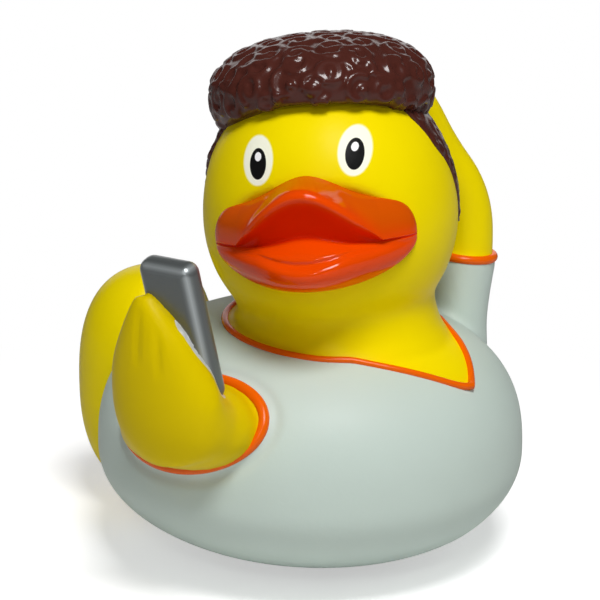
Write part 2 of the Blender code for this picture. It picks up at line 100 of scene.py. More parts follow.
HEAD = (
    Matrix.Translation(HEAD_MIDDLE)
    @ Matrix.Rotation(HEAD_TURN, 4, "Z")
    @ Matrix.Rotation(HEAD_NOD, 4, "X")
    @ Matrix.Rotation(HEAD_TILT, 4, "Y")
)
BEAK_HALF_ANGLE = math.radians(49.5)
BEAK_TOP_Z = 9.2 * MM
FACE_DRAWN_IN = 5.0 * MM
FACE_DRAWN_SPAN = (0.55, 0.9)
HEAD_GRID = (160, 112)
SLEEVE_ROUTE = (
    (26.0, -10.5, 22.0, 9.0),
    (27.8, -12.0, 31.0, 6.0),
    (28.4, -12.2, 38.2, 5.0),
    (30.1, -12.4, 47.3, 5.6),
)
LEFT_ARM_ROUTE = (
    (29.4, -12.5, 40.2, 4.6),
    (30.6, -12.6, 50.2, 4.9),
    (30.0, -11.6, 59.0, 4.8),
    (24.8, -9.0, 67.2, 4.3),
    (20.5, -7.3, 75.0, 4.4),
    (17.5, -5.0, 80.5, 4.2),
)
PALM_MIDDLE = Vector((-33.5, 0.2, 30.6)) * MM
PALM_LEAN = math.radians(-4.0)
PALM_THICK = 10.2 * MM
PALM_FRONT = 12.0 * MM
PALM_BACK = 12.8 * MM
PALM_UP = 7.6 * MM
PALM_DOWN = 6.5 * MM
HEEL_MIDDLE = Vector((-38.8, -5.8, 33.6)) * MM
HEEL_SIDE = 5.8 * MM
HEEL_FRONT = 5.4 * MM
FINGERS_ROUTE = (
    (-35.0, -1.5, 31.0, 9.0),
    (-37.6, -0.9, 35.0, 11.2),
    (-40.4, 0.6, 41.5, 9.4),
    (-42.8, 1.0, 47.5, 6.8),
    (-44.2, 1.7, 52.4, 3.6),
    (-44.6, 2.2, 55.4, 1.5),
)
FINGERS_MIDDLE = Vector((-43.0, 1.0, 48.5)) * MM
FINGERS_FLAT = 0.5
FINGER_GROOVES = (
    (Vector((-45.2, 1.3, 53.2)) * MM, Vector((-46.0, 1.2, 43.8)) * MM),
    (Vector((-45.1, -2.1, 50.6)) * MM, Vector((-45.6, -2.9, 42.6)) * MM),
)
GROOVE_DEEP = 0.32 * MM
GROOVE_HALF = 0.55 * MM
HAND_VOXEL = 0.6 * MM
HAND_SOFTEN = 40
SKIN_VOXEL = 0.58 * MM
SKIN_SOFTEN = 8
CHIN_FOLD_Z = 45.8 * MM
CHIN_FOLD_REACH = (2.0 * MM, 5.0 * MM)
CHIN_SOFTEN = 60
RIGHT_CUFF_MIDDLE = Vector((-48.0, 2.0, 30.5)) * MM
RIGHT_CUFF_LONG = 14.0 * MM
RIGHT_CUFF_HIGH = 6.6 * MM
RIGHT_CUFF_TURN = math.radians(-7.0)
RIGHT_CUFF_STEPS = 96
CUFF_DENT_DEEP = 0.40 * MM
CUFF_DENT_AWAY = 1.9 * MM
CUFF_DENT_HALF = 0.9 * MM
PHONE_THICK = 4.4 * MM
PHONE_WIDE = 10.2 * MM
PHONE_TALL = 25.0 * MM
PHONE_EDGE = 1.9 * MM
PHONE_INSET = 0.3 * MM
PHONE_MIDDLE = Vector((-38.9, -2.5, 48.9)) * MM
PHONE_LEAN = math.radians(-17.0)
PHONE_RUB_HIGHLIGHT_SPAN = (0.25, 0.85)
COLLAR_SIDE = 18.4 * MM
COLLAR_BACK = 19.6 * MM
COLLAR_POINT = 26.6 * MM
COLLAR_POINT_ANGLE = math.radians(50.0)
COLLAR_POINT_SHARP = 1.6
COLLAR_LOWEST = 28.0 * MM

VINYL_YELLOW = (0.94, 0.745, 0.0)
# The mitten's darker yellow is painted shade, laid over the hand and eased in near it.
HAND_SHADE_YELLOW = (0.70, 0.525, 0.0)
TOP_WHITE = (0.58, 0.68, 0.62)
GLINT_WHITE = (0.95, 0.95, 0.95)
EYE_CREAM = (0.98, 0.98, 0.80)
EYE_RIM = (0.94, 0.88, 0.28)
EYE_BLACK = (0.008, 0.008, 0.008)
# The prints of one eye, from the lowest up. Each has its middle, its half-width and half-height, and its ink.
EYE_PRINTS = (
    ((7.9, 12.0), (2.73, 3.96), EYE_RIM),
    ((7.9, 12.0), (2.57, 3.80), EYE_CREAM),
    ((7.9, 11.5), (1.47, 2.42), EYE_BLACK),
    ((7.9, 12.6), (0.58, 0.696), GLINT_WHITE),
)
INK_EDGE = 0.025
EYES_SLOPE = 0.054
EYES_SHIFT = 0.1
SPRAY_EDGE = (-0.08, 0.08)
HAND_SHADE_REACH = (0.3, 1.5)
# The mitten's edge by the phone: partly silver paint, partly a painted highlight that lights the gap there.
SILVER_HIGHLIGHT_EDGE = (0.58, 0.68)
SILVER_HIGHLIGHT_FADE = (49.5 * MM, 53.0 * MM)
SILVER_AND_HIGHLIGHT = (0.86, 0.88, 0.86)
SILVER_METAL = 0.5
YELLOW_FADED = 0.93
WHITE_FADED = 0.95
YELLOW_ROUGH = 0.28
BLOTCH_ROUGH = 0.10
WHITE_ROUGH = 0.10
RUB_ROUGH = 0.15
YELLOW_SHEEN = 0.05
WHITE_SHEEN = 0.16
PEEL_SIZE = 1100.0
PEEL_DEPTH = 0.02
RUB_SHARE = 0.5
RUB_EDGE = (0.60, 0.74)


def smoothstep(low, high, value):
    share = min(1.0, max(0.0, (value - low) / (high - low)))
    return share * share * (3.0 - 2.0 * share)


def angles(count, start=0.0):
    """Evenly spaced angles once round, from a start in degrees."""
    return [math.radians(start + 360.0 / count * step) for step in range(count)]


def placed(name, data):
    """A new object in the scene that holds the data."""
    obj = bpy.data.objects.new(name, data)
    bpy.context.scene.collection.objects.link(obj)
    return obj


def mesh_object(name, work):
    """The bmesh as an object with its faces pointing out.

    The faces are put in one order, which bmesh doesn't keep from run to run, so that the curls fall alike.
    """
    bmesh.ops.recalc_face_normals(work, faces=work.faces)
    work.verts.index_update()
    faces = []
    for face in work.faces:
        ring = [vertex.index for vertex in face.verts]
        first = ring.index(min(ring))
        faces.append(ring[first:] + ring[:first])
    mesh = bpy.data.meshes.new(name)
    mesh.from_pydata([vertex.co for vertex in work.verts], [], sorted(faces))
    work.free()
    return placed(name, mesh)


def as_mesh(obj):
    """The evaluated object as a plain mesh object, which takes its place."""
    bpy.context.view_layer.update()
    graph = bpy.context.evaluated_depsgraph_get()
    mesh = bpy.data.meshes.new_from_object(obj.evaluated_get(graph))
    name = obj.name
    bpy.data.objects.remove(obj, do_unlink=True)
    return placed(name, mesh)


def ball(segments, rings):
    """A unit ball to be shaped, as a bmesh."""
    work = bmesh.new()
    bmesh.ops.create_uvsphere(work, u_segments=segments, v_segments=rings, radius=1.0)
    return work


def rounded(way, square):
    """How far a direction reaches on a ball that is round in plan, and boxier in height over square 2."""
    return (math.hypot(way.x, way.y) ** square + abs(way.z) ** square) ** (-1.0 / square)


def egg(name, middle, side, front, back, up, down, square=(2.0, 2.0)):
    """A closed egg with its own half-length each way, and its own squareness above and below its widest."""
    work = ball(*EGG_GRID)
    for vertex in work.verts:
        way = vertex.co.normalized()
        above = way.z > 0.0
        ahead = way.y * (front if way.y < 0.0 else back)
        size = Vector((way.x * side, ahead, way.z * (up if above else down)))
        vertex.co = middle + size * rounded(way, square[0] if above else square[1])
    return mesh_object(name, work)


def tube(name, route, closed=False, smooth=True, sides=6):
    """A round limb or cord along the route of (x, y, z, radius), in millimetres.

    A smooth one follows a curve that is drawn near its points.
    """
    curve = bpy.data.curves.new(name, "CURVE")
    curve.dimensions = "3D"
    curve.bevel_depth = 1.0
    curve.bevel_resolution = sides
    curve.use_fill_caps = not closed
    spline = curve.splines.new("NURBS" if smooth else "POLY")
    spline.points.add(len(route) - 1)
    for point, (x, y, z, radius) in zip(spline.points, route):
        point.co = (x * MM, y * MM, z * MM, 1.0)
        point.radius = radius * MM
    spline.use_cyclic_u = closed
    if smooth:
        spline.order_u = 3
        spline.use_endpoint_u = True
        spline.resolution_u = 16
    made = as_mesh(placed(name, curve))
    work = bmesh.new()
    work.from_mesh(made.data)
    bmesh.ops.remove_doubles(work, verts=work.verts, dist=WELD)
    bpy.data.objects.remove(made, do_unlink=True)
    return mesh_object(name, work)


def join_loops(work, loops):
    """Faces from each loop of points to the next, and one across each end."""
    for first, second in zip(loops, loops[1:]):
        for index, corner in enumerate(first):
            after = (index + 1) % len(first)
            work.faces.new((corner, first[after], second[after], second[index]))
    work.faces.new(loops[0])
    work.faces.new(loops[-1])


def surface_of(parts):
    """A search tree over the faces of the parts."""
    work = bmesh.new()
    for part in parts:
        work.from_mesh(part.data)
    tree = BVHTree.FromBMesh(work)
    work.free()
    return tree


def keep_outer_skin(obj):
    """Deletes the small closed pockets that a remesh can leave between forms."""
    work = bmesh.new()
    work.from_mesh(obj.data)
    left = set(work.verts)
    shells = []
    while left:
        shell = [left.pop()]
        for vertex in shell:
            near = [edge.other_vert(vertex) for edge in vertex.link_edges]
            fresh = [other for other in near if other in left]
            left.difference_update(fresh)
            shell.extend(fresh)
        shells.append(shell)
    shells.sort(key=len)
    pockets = [vertex for shell in shells[:-1] for vertex in shell]
    bmesh.ops.delete(work, geom=pockets, context="VERTS")
    work.to_mesh(obj.data)
    work.free()


def merge(name, parts):
    """The parts as one object, which takes their place."""
    work = bmesh.new()
    for part in parts:
        work.from_mesh(part.data)
        bpy.data.objects.remove(part, do_unlink=True)
    return mesh_object(name, work)


def ease(obj, times, where=""):
    """Smooths a mesh, or only the vertex group that is named."""
    soft = obj.modifiers.new("soft corners", "SMOOTH")
    soft.factor = 0.5
    soft.iterations = times
    soft.vertex_group = where


def one_skin(obj, voxel, soften):
    """The closed forms of a mesh as one skin with soft corners."""
    skin = obj.modifiers.new("one skin", "REMESH")
    skin.mode = "VOXEL"
    skin.voxel_size = voxel
    ease(obj, soften)
    return as_mesh(obj)


def fuse(name, parts, voxel, soften):
    """Joins closed forms into one skin with soft inner corners, and does away with the forms."""
    made = one_skin(merge(name, parts), voxel, soften)
    keep_outer_skin(made)
    return made


def body_form():
    """The body's egg, with its underside drawn up a little at the sides and towards the tail."""
    middle = Vector((0.0, 0.0, BODY_WIDEST))
    body = egg("body", middle, BODY_SIDE, BODY_FRONT, BODY_BACK, BODY_UP, BODY_DOWN, BODY_SQUARE)
    for vertex in body.data.vertices:
        stern = STERN_RISE * max(0.0, vertex.co.y) / BODY_BACK
        bilge = BILGE_RISE * abs(vertex.co.x) / BODY_SIDE
        below = max(0.0, BODY_WIDEST - vertex.co.z) / BODY_DOWN
        vertex.co.z += (stern + bilge) * below
    return body


def foot_form():
    middle = Vector((0.0, 0.0, FOOT_HIGH))
    return egg("foot", middle, FOOT_RADIUS, FOOT_RADIUS, FOOT_RADIUS, FOOT_HIGH, FOOT_DEEP, FOOT_SQUARE)


def tail_form():
    return egg("tail", TAIL_MIDDLE, TAIL_SIDE, TAIL_FRONT, TAIL_BACK, TAIL_UP, TAIL_DOWN, TAIL_SQUARE)


def neck_form():
    """The neck's outline, turned about its own upright axis."""
    work = bmesh.new()
    rings = []
    for radius, height in NECK_OUTLINE:
        ring = []
        for angle in angles(NECK_STEPS):
            place = Vector((radius * MM * math.cos(angle), radius * MM * math.sin(angle), height * MM))
            ring.append(work.verts.new(Vector((0.0, -NECK_FORWARD, 0.0)) + place))
        rings.append(ring)
    join_loops(work, rings)
    return mesh_object("neck", work)


def head_skin(way):
    """The point of the head's plain egg in a direction from its middle."""
    return Vector((way.x * HEAD_SIDE, way.y * HEAD_FRONT, way.z * (HEAD_UP if way.z > 0.0 else HEAD_DOWN)))


def head_form():
    """The head's egg, drawn in behind the beak to leave room for the open mouth."""
    work = ball(*HEAD_GRID)
    for vertex in work.verts:
        way = vertex.co.normalized()
        skin = head_skin(way)
        across = math.atan2(way.x, -way.y) / BEAK_HALF_ANGLE
        inside = 1.0 - smoothstep(*FACE_DRAWN_SPAN, math.hypot(across, skin.z / BEAK_TOP_Z))
        vertex.co = skin - way * inside * FACE_DRAWN_IN
    work.transform(HEAD)
    return mesh_object("head", work)


def fingers_form():
    """The mitten's flat outer side: a soft tube, thinned across the phone's back."""
    made = tube("fingers", FINGERS_ROUTE, sides=LIMB_SIDES)
    thin = Matrix.Scale(FINGERS_FLAT, 4, Vector((1.0, 0.0, 0.0)))
    made.data.transform(Matrix.Translation(FINGERS_MIDDLE) @ thin @ Matrix.Translation(-FINGERS_MIDDLE))
    return made


def palm_form():
    made = egg("palm", Vector(), PALM_THICK, PALM_FRONT, PALM_BACK, PALM_UP, PALM_DOWN)
    made.data.transform(Matrix.Translation(PALM_MIDDLE) @ Matrix.Rotation(PALM_LEAN, 4, "X"))
    return made


def heel_form():
    """A swelling that fills the fold between the palm and the fingers."""
    return egg("heel", HEEL_MIDDLE, HEEL_SIDE, HEEL_FRONT, HEEL_FRONT, HEEL_SIDE, HEEL_SIDE)


def phone_form(inset=0.0):
    """The phone's slab, or one that lies inside it by the inset.

    Its attribute for the lighter edges is 1 along the middle of its rounded edges and 0 on its flats. There
    the silver is partly rubbed paint and partly a painted highlight.
    """
    work = bmesh.new()
    bmesh.ops.create_cube(work, size=1.0)
    size = [length - 2.0 * inset for length in (PHONE_THICK, PHONE_WIDE, PHONE_TALL)]
    work.transform(Matrix.Diagonal((*size, 1.0)))
    bmesh.ops.bevel(work, geom=work.edges[:], offset=PHONE_EDGE, segments=8, profile=0.5, affect="EDGES")
    rub_and_highlight = []
    for vertex in work.verts:
        past_flat = sorted(abs(at) - length / 2.0 + PHONE_EDGE for at, length in zip(vertex.co, size))
        rub_and_highlight.append(smoothstep(*PHONE_RUB_HIGHLIGHT_SPAN, past_flat[1] / PHONE_EDGE))
    work.transform(Matrix.Translation(PHONE_MIDDLE) @ Matrix.Rotation(PHONE_LEAN, 4, "Y"))
    made = mesh_object("phone", work)
    store(made, "rub_and_highlight", rub_and_highlight)
    return made


def right_cuff_line(chest):
    """The places on the body that the right sleeve's edging goes through, an oval round the mitten's root."""
    places = []
    for angle in angles(RIGHT_CUFF_STEPS):
        around = Vector((0.0, RIGHT_CUFF_LONG * math.cos(angle), RIGHT_CUFF_HIGH * math.sin(angle)))
        around.rotate(Matrix.Rotation(RIGHT_CUFF_TURN, 3, "X"))
        places.append(chest.ray_cast(RIGHT_CUFF_MIDDLE + around, Vector((1.0, 0.0, 0.0)))[0])
    return places


def beyond_cuff(place):
    """How far a point of the body lies outside the right sleeve's edging, which is below zero inside it."""
    if place.x > 0.0:
        return 1.0
    around = place - RIGHT_CUFF_MIDDLE
    around.rotate(Matrix.Rotation(-RIGHT_CUFF_TURN, 3, "X"))
    return (math.hypot(around.y / RIGHT_CUFF_LONG, around.z / RIGHT_CUFF_HIGH) - 1.0) * RIGHT_CUFF_HIGH


def soften_chin(obj):
    """Eases the fold where the head meets the neck, and leaves the rest of the skin as it is."""
    fold = obj.vertex_groups.new(name="under the chin")
    for vertex in obj.data.vertices:
        if math.hypot(vertex.co.x, vertex.co.y + NECK_FORWARD) < HEAD_SIDE:
            share = 1.0 - smoothstep(*CHIN_FOLD_REACH, abs(vertex.co.z - CHIN_FOLD_Z))
            fold.add([vertex.index], share, "REPLACE")
    ease(obj, CHIN_SOFTEN, fold.name)
    return as_mesh(obj)


def press_in(obj, depths):
    """Moves each vertex into the skin by its own depth."""
    facing = np.empty(len(obj.data.vertices) * 3, np.float64)
    obj.data.vertices.foreach_get("normal", facing)
    obj.data.vertices.foreach_set("co", (places_of(obj) - facing.reshape(-1, 3) * depths[:, None]).ravel())
    obj.data.update()


def groove_depths(places):
    """How deep each place lies in the faint grooves between the mitten's fingers."""
    depths = np.zeros(len(places))
    for top, low in FINGER_GROOVES:
        line = np.array(low - top)
        along = np.clip((places - np.array(top)) @ line / (line @ line), 0.0, 1.0)
        away = np.linalg.norm(places - np.array(top) - along[:, None] * line, axis=1)
        depths += GROOVE_DEEP * np.exp(-((away / GROOVE_HALF) ** 2)) * np.sin(math.pi * along) ** 0.5
    return depths


def collar_radius(angle):
    """The collar's distance from the neck's axis, at an angle from straight ahead."""
    back = (COLLAR_BACK - COLLAR_SIDE) * (abs(angle) / math.pi) ** 2
    ahead = max(0.0, 1.0 - abs(angle) / COLLAR_POINT_ANGLE) ** COLLAR_POINT_SHARP
    return COLLAR_SIDE + back + (COLLAR_POINT - COLLAR_SIDE) * ahead


def beyond_collar(place):
    """How far a point of the chest or the neck lies outside the collar, which is below zero inside it."""
    if place.z < COLLAR_LOWEST:
        return 1.0
    ahead = -place.y - NECK_FORWARD
    return math.hypot(place.x, ahead) - collar_radius(math.atan2(place.x, ahead))


def store(obj, name, values, kind="FLOAT"):
    """Keeps a value, or a vector, for each vertex under a name that the materials read."""
    kept = obj.data.attributes.new(name, kind, "POINT")
    kept.data.foreach_set("value" if kind == "FLOAT" else "vector", np.asarray(values, np.float32).ravel())


def places_of(obj):
    places = np.empty(len(obj.data.vertices) * 3, np.float64)
    obj.data.vertices.foreach_get("co", places)
    return places.reshape(-1, 3)


def steps_of(tree, *names):
    """Adds the named nodes to a material or a group and returns them in order."""
    return [tree.nodes.new(name) for name in names]


def connect(tree, *links):
    """Makes links, each from a node and its output to a node and its input."""
    for start, output, end, entry in links:
        tree.links.new(start.outputs[output], end.inputs[entry])


def set_up(node, values):
    """Sets inputs of a node to plain values."""
    for name, value in values.items():
        node.inputs[name].default_value = value


def add_sockets(tree, way, sockets):
    """Gives a group its inputs or outputs. Each has a name, a kind, and a value or None."""
    for name, kind, value in sockets:
        socket = tree.interface.new_socket(name, in_out=way, socket_type="NodeSocket" + kind)
        if value is not None:
            socket.default_value = value


def calculate(tree, operation, *values):
    """One sum in a node tree. Each value is a socket or a plain number."""
    node = tree.nodes.new("ShaderNodeMath")
    node.operation = operation
    for socket, value in zip(node.inputs, values):
        if isinstance(value, bpy.types.NodeSocket):
            tree.links.new(value, socket)
        else:
            socket.default_value = value
    return node.outputs[0]


def between(tree, value, low, high):
    """0 below low, 1 above high, and a smooth step from one to the other."""
    node = tree.nodes.new("ShaderNodeMapRange")
    node.interpolation_type = "SMOOTHSTEP"
    tree.links.new(value, node.inputs["Value"])
    node.inputs["From Min"].default_value = low
    node.inputs["From Max"].default_value = high
    return node.outputs["Result"]


def blended(tree, share, first, second):
    """A colour that goes from first to second. Each is a socket or a plain colour."""
    node = tree.nodes.new("ShaderNodeMix")
    node.data_type = "RGBA"
    tree.links.new(share, node.inputs["Factor"])
    for socket, colour in ((node.inputs[6], first), (node.inputs[7], second)):
        if isinstance(colour, bpy.types.NodeSocket):
            tree.links.new(colour, socket)
        else:
            socket.default_value = (*colour, 1.0)
    return node.outputs[2]


def attribute(tree, name, output="Fac"):
    node = tree.nodes.new("ShaderNodeAttribute")
    node.attribute_name = name
    return node.outputs[output]


def moulded_surface():
    """The skin that every cast and painted area shares: a faint orange peel, soft blotches and fine rubs."""
    group = bpy.data.node_groups.new("moulded surface", "ShaderNodeTree")
    add_sockets(group, "INPUT", [("Peel Size", "Float", PEEL_SIZE), ("Peel Depth", "Float", PEEL_DEPTH)])
    add_sockets(group, "INPUT", [("Rub Share", "Float", RUB_SHARE)])
    add_sockets(group, "OUTPUT", [("Normal", "Vector", None)])
    add_sockets(group, "OUTPUT", [("Blotch", "Float", None), ("Rub", "Float", None)])
    given, made, where, peel, blotch, rub, bump = steps_of(
        group,
        "NodeGroupInput",
        "NodeGroupOutput",
        "ShaderNodeTexCoord",
        "ShaderNodeTexNoise",
        "ShaderNodeTexNoise",
        "ShaderNodeTexNoise",
        "ShaderNodeBump",
    )
    set_up(peel, {"Detail": 2.0})
    set_up(blotch, {"Scale": 70.0, "Detail": 4.0})
    set_up(rub, {"Scale": 260.0, "Detail": 8.0, "Roughness": 0.65, "Distortion": 1.2})
    set_up(bump, {"Strength": 1.0})
    connect(
        group,
        (where, "Object", peel, "Vector"),
        (where, "Object", blotch, "Vector"),
        (where, "Object", rub, "Vector"),
        (given, "Peel Size", peel, "Scale"),
        (peel, "Fac", bump, "Height"),
        (bump, "Normal", made, "Normal"),
        (blotch, "Fac", made, "Blotch"),
    )
    depth = calculate(group, "MULTIPLY", given.outputs["Peel Depth"], MM)
    group.links.new(depth, bump.inputs["Distance"])
    rubs = between(group, rub.outputs["Fac"], *RUB_EDGE)
    group.links.new(calculate(group, "MULTIPLY", rubs, given.outputs["Rub Share"]), made.inputs["Rub"])
    return group


moulded = moulded_surface()


def finish(name, surface_values):
    """A new material with the moulded surface in it. Returns it, its tree, its shader and the surface."""
    material = bpy.data.materials.new(name)
    material.use_nodes = True
    tree = material.node_tree
    shader = tree.nodes["Principled BSDF"]
    surface = tree.nodes.new("ShaderNodeGroup")
    surface.node_tree = moulded
    set_up(surface, surface_values)
    tree.links.new(surface.outputs["Normal"], shader.inputs["Normal"])
    return material, tree, shader, surface


def faded(tree, surface, colour, share):
    """The colour, which goes down to a share of itself in the blotches."""
    return blended(tree, surface.outputs["Blotch"], [part * share for part in colour], colour)


def roughen(tree, shader, least, *more):
    """A roughness that starts at the least. Each of the others is a mask and what it adds where it is 1."""
    for mask, amount in more:
        least = calculate(tree, "MULTIPLY_ADD", mask, amount, least)
    tree.links.new(least, shader.inputs["Roughness"])


def two_sheens(tree, shader, mask, first, second):
    """The first sheen, and the second where the mask is 1. The shader's own setting stays at the first.
    An export that drops the mask keeps the first.
    """
    set_up(shader, {"Specular IOR Level": first})
    sheen = calculate(tree, "MULTIPLY_ADD", mask, second - first, first)
    tree.links.new(sheen, shader.inputs["Specular IOR Level"])


def dress(obj, material):
    """Paints a finished piece and moves it to the row's frame."""
    obj.data.materials.clear()
    obj.data.materials.append(material)
    obj.data.transform(TO_ROW)
    obj.data.shade_smooth()


def oval(tree, x, z, middle, half):
    """1 inside an oval and 0 outside, with an edge as sharp as print."""
    squares = 0.0
    for at, centre, length in zip((x, z), middle, half):
        out = calculate(tree, "DIVIDE", calculate(tree, "SUBTRACT", at, centre), length)
        squares = calculate(tree, "MULTIPLY_ADD", out, out, squares)
    out = calculate(tree, "SQRT", squares)
    return calculate(tree, "SUBTRACT", 1.0, between(tree, out, 1.0 - INK_EDGE, 1.0 + INK_EDGE))


body = body_form()
foot = foot_form()
neck = neck_form()
sleeve = tube("sleeve", SLEEVE_ROUTE, sides=LIMB_SIDES)
tail = tail_form()
head = head_form()
left_arm = tube("left_arm", LEFT_ARM_ROUTE, sides=LIMB_SIDES)
hand = fuse("hand", [fingers_form(), palm_form(), heel_form()], HAND_VOXEL, HAND_SOFTEN)
chest = surface_of([body, neck])
white_forms = surface_of([body, foot, neck, sleeve])
yellow_forms = surface_of([tail, head, left_arm, hand])
shaded_hand = surface_of([hand])
whole = [body, foot, neck, sleeve, tail, head, left_arm, hand, phone_form(PHONE_INSET)]
casting = soften_chin(fuse("duck_casting", whole, SKIN_VOXEL, SKIN_SOFTEN))
for vertex in casting.data.vertices:
    vertex.co.z = max(vertex.co.z, 0.0)
press_in(casting, groove_depths(places_of(casting)))
casting_places = places_of(casting)
white_side = []
for place in casting_places:
    nearer_white = yellow_forms.find_nearest(place)[3] - white_forms.find_nearest(place)[3]
    place = Vector(place)
    white_side.append(min(nearer_white, beyond_collar(place), beyond_cuff(place)) / MM)
store(casting, "white_side", white_side)
cuff_line = right_cuff_line(chest)
cuff_search = KDTree(len(cuff_line))
for index, place in enumerate(cuff_line):
    cuff_search.insert(place, index)
cuff_search.balance()
from_cuff = np.array([cuff_search.find(place)[2] for place in casting_places])
dent = CUFF_DENT_DEEP * np.exp(-(((from_cuff - CUFF_DENT_AWAY) / CUFF_DENT_HALF) ** 2))
press_in(casting, dent * (np.array(white_side) > 0.0))
on_phone = phone_form()
phone_surface = surface_of([on_phone])
bpy.data.objects.remove(on_phone, do_unlink=True)
on_hand_away = [shaded_hand.find_nearest(place)[3] / MM for place in casting_places]
# How near each point lies to the mitten, which is painted a darker yellow as painted shade.
store(casting, "shaded_hand", [1.0 - smoothstep(*HAND_SHADE_REACH, away) for away in on_hand_away])
phone_away = []
for place in casting_places:
    phone_away.append(phone_surface.find_nearest(place)[3] / MM + smoothstep(*SILVER_HIGHLIGHT_FADE, place[2]))
store(casting, "phone_away", phone_away)
to_head = np.array(HEAD.inverted())
store(casting, "face_place", (casting_places @ to_head[:3, :3].T + to_head[:3, 3]) / MM, "FLOAT_VECTOR")

vinyl, tree, shader, surface = finish("yellow_vinyl", {})
on_white = between(tree, attribute(tree, "white_side"), *SPRAY_EDGE)
yellow = faded(tree, surface, VINYL_YELLOW, YELLOW_FADED)
# The mitten gets the darker yellow: painted shade.
yellow = blended(tree, attribute(tree, "shaded_hand"), yellow, HAND_SHADE_YELLOW)
colour = blended(tree, on_white, yellow, faded(tree, surface, TOP_WHITE, WHITE_FADED))
face = tree.nodes.new("ShaderNodeSeparateXYZ")
tree.links.new(attribute(tree, "face_place", "Vector"), face.inputs["Vector"])
face_x = calculate(tree, "ABSOLUTE", calculate(tree, "ADD", face.outputs["X"], EYES_SHIFT))
face_z = calculate(tree, "MULTIPLY_ADD", face.outputs["X"], -EYES_SLOPE, face.outputs["Z"])
in_front = calculate(tree, "LESS_THAN", face.outputs["Y"], 0.0)
for middle, half, ink in EYE_PRINTS:
    printed = calculate(tree, "MULTIPLY", oval(tree, face_x, face_z, middle, half), in_front)
    colour = blended(tree, printed, colour, ink)
# Silver paint and a painted highlight along the mitten's edge by the phone, fading out higher up.
silver_highlight_mask = calculate(tree, "SUBTRACT", 1.0, between(tree, attribute(tree, "phone_away"), *SILVER_HIGHLIGHT_EDGE))
tree.links.new(blended(tree, silver_highlight_mask, colour, SILVER_AND_HIGHLIGHT), shader.inputs["Base Color"])
tree.links.new(calculate(tree, "MULTIPLY", silver_highlight_mask, SILVER_METAL), shader.inputs["Metallic"])
blotches = (surface.outputs["Blotch"], BLOTCH_ROUGH)
roughen(tree, shader, YELLOW_ROUGH, blotches, (on_white, WHITE_ROUGH), (surface.outputs["Rub"], RUB_ROUGH))
two_sheens(tree, shader, on_white, YELLOW_SHEEN, WHITE_SHEEN)
dress(casting, vinyl)
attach(casting, "root")
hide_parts("duck_shell")

# The beak. It is part of the same casting, an open bill with full lips, painted a glossy orange up to a crisp
# border. Between the lips lies a shallow hollow, and under it an oval tongue that sits in the lower lip.
BEAK_CORNER_Z = -1.4 * MM
BEAK_CHEEK_Z = 4.2 * MM
BEAK_PEAK_HALF_WIDTH = 8.0 * MM
BEAK_BOTTOM_Z = -9.6 * MM
BEAK_UPPER_REACH = 6.6 * MM
BEAK_LOWER_REACH = 8.4 * MM
BEAK_CHEEK_REACH = 1.9 * MM
BEAK_ROOT = 6.5 * MM
MOUTH_HALF_WIDTH = 10.8 * MM
MOUTH_ARCH = 8.6 * MM
MOUTH_ARCH_FOOT_Z = -1.9 * MM
MOUTH_LINE_Z = -0.6 * MM
MOUTH_LINE_DROP = 1.4 * MM
MOUTH_LINE_RISE = 5.5 * MM
MOUTH_BACK_REACH = 2.2 * MM
TONGUE_HALF_WIDTH = 8.3 * MM
MOUTH_CORNER_SPAN = (0.70, 1.06)
MOUTH_ARCH_FLAT = 0.15
MOUTH_ARCH_ROUND = 1.4
LIPS_APART = (0.4 * MM, 1.1 * MM)
LIP_CREST = (0.30 * MM, 0.85 * MM)
LIP_ROLL = (0.06 * MM, 0.40 * MM)
LIP_VALLEY = 0.35 * MM
LIP_VALLEY_SPAN = (0.2, 1.1)
LIP_PAD_SPAN = (0.55, 1.15)
TONGUE_FOOT_Z = -4.2 * MM
TONGUE_FOOT_REACH = 6.3 * MM
TONGUE_SOFT = 0.2
TONGUE_DROP = 0.8 * MM
BEAK_END_SQUARE = 10
BEAK_LOW_END_SQUARE = 1.9
BEAK_BOW = 3
BEAK_SLICES = 181
BEAK_SPREAD = 0.9995
BEAK_STEPS = 8
ROUNDED_SHARE = 0.75
HOLLOW_FROM = (6.4, 7.6)
HOLLOW_TO = (10.0, 10.8)
UPPER_TO = (3.2, 5.4)
BEAK_ORANGE = (0.84, 0.064, 0.0)
# The hollow between the lips is painted a darker red: painted shade.
HOLLOW_SHADE_RED = (0.76, 0.020, 0.0)
# The upper bill's outside is painted darker and yellower: painted shade with a painted yellow bounce.
UPPER_SHADE_ORANGE = (0.66, 0.085, 0.0)
ORANGE_FADED = 0.92
BEAK_ROUGH = 0.04
BEAK_PEEL = 0.012
LIP_SHEEN = 0.26
HOLLOW_SHEEN = 0.05


def mix(first, second, share):
    return first + (second - first) * share


def face_radius(height):
    """The head's radius, seen from above, at a height from its middle."""
    half = HEAD_UP if height > 0.0 else HEAD_DOWN
    return HEAD_SIDE * math.sqrt(max(0.0, 1.0 - (height / half) ** 2))


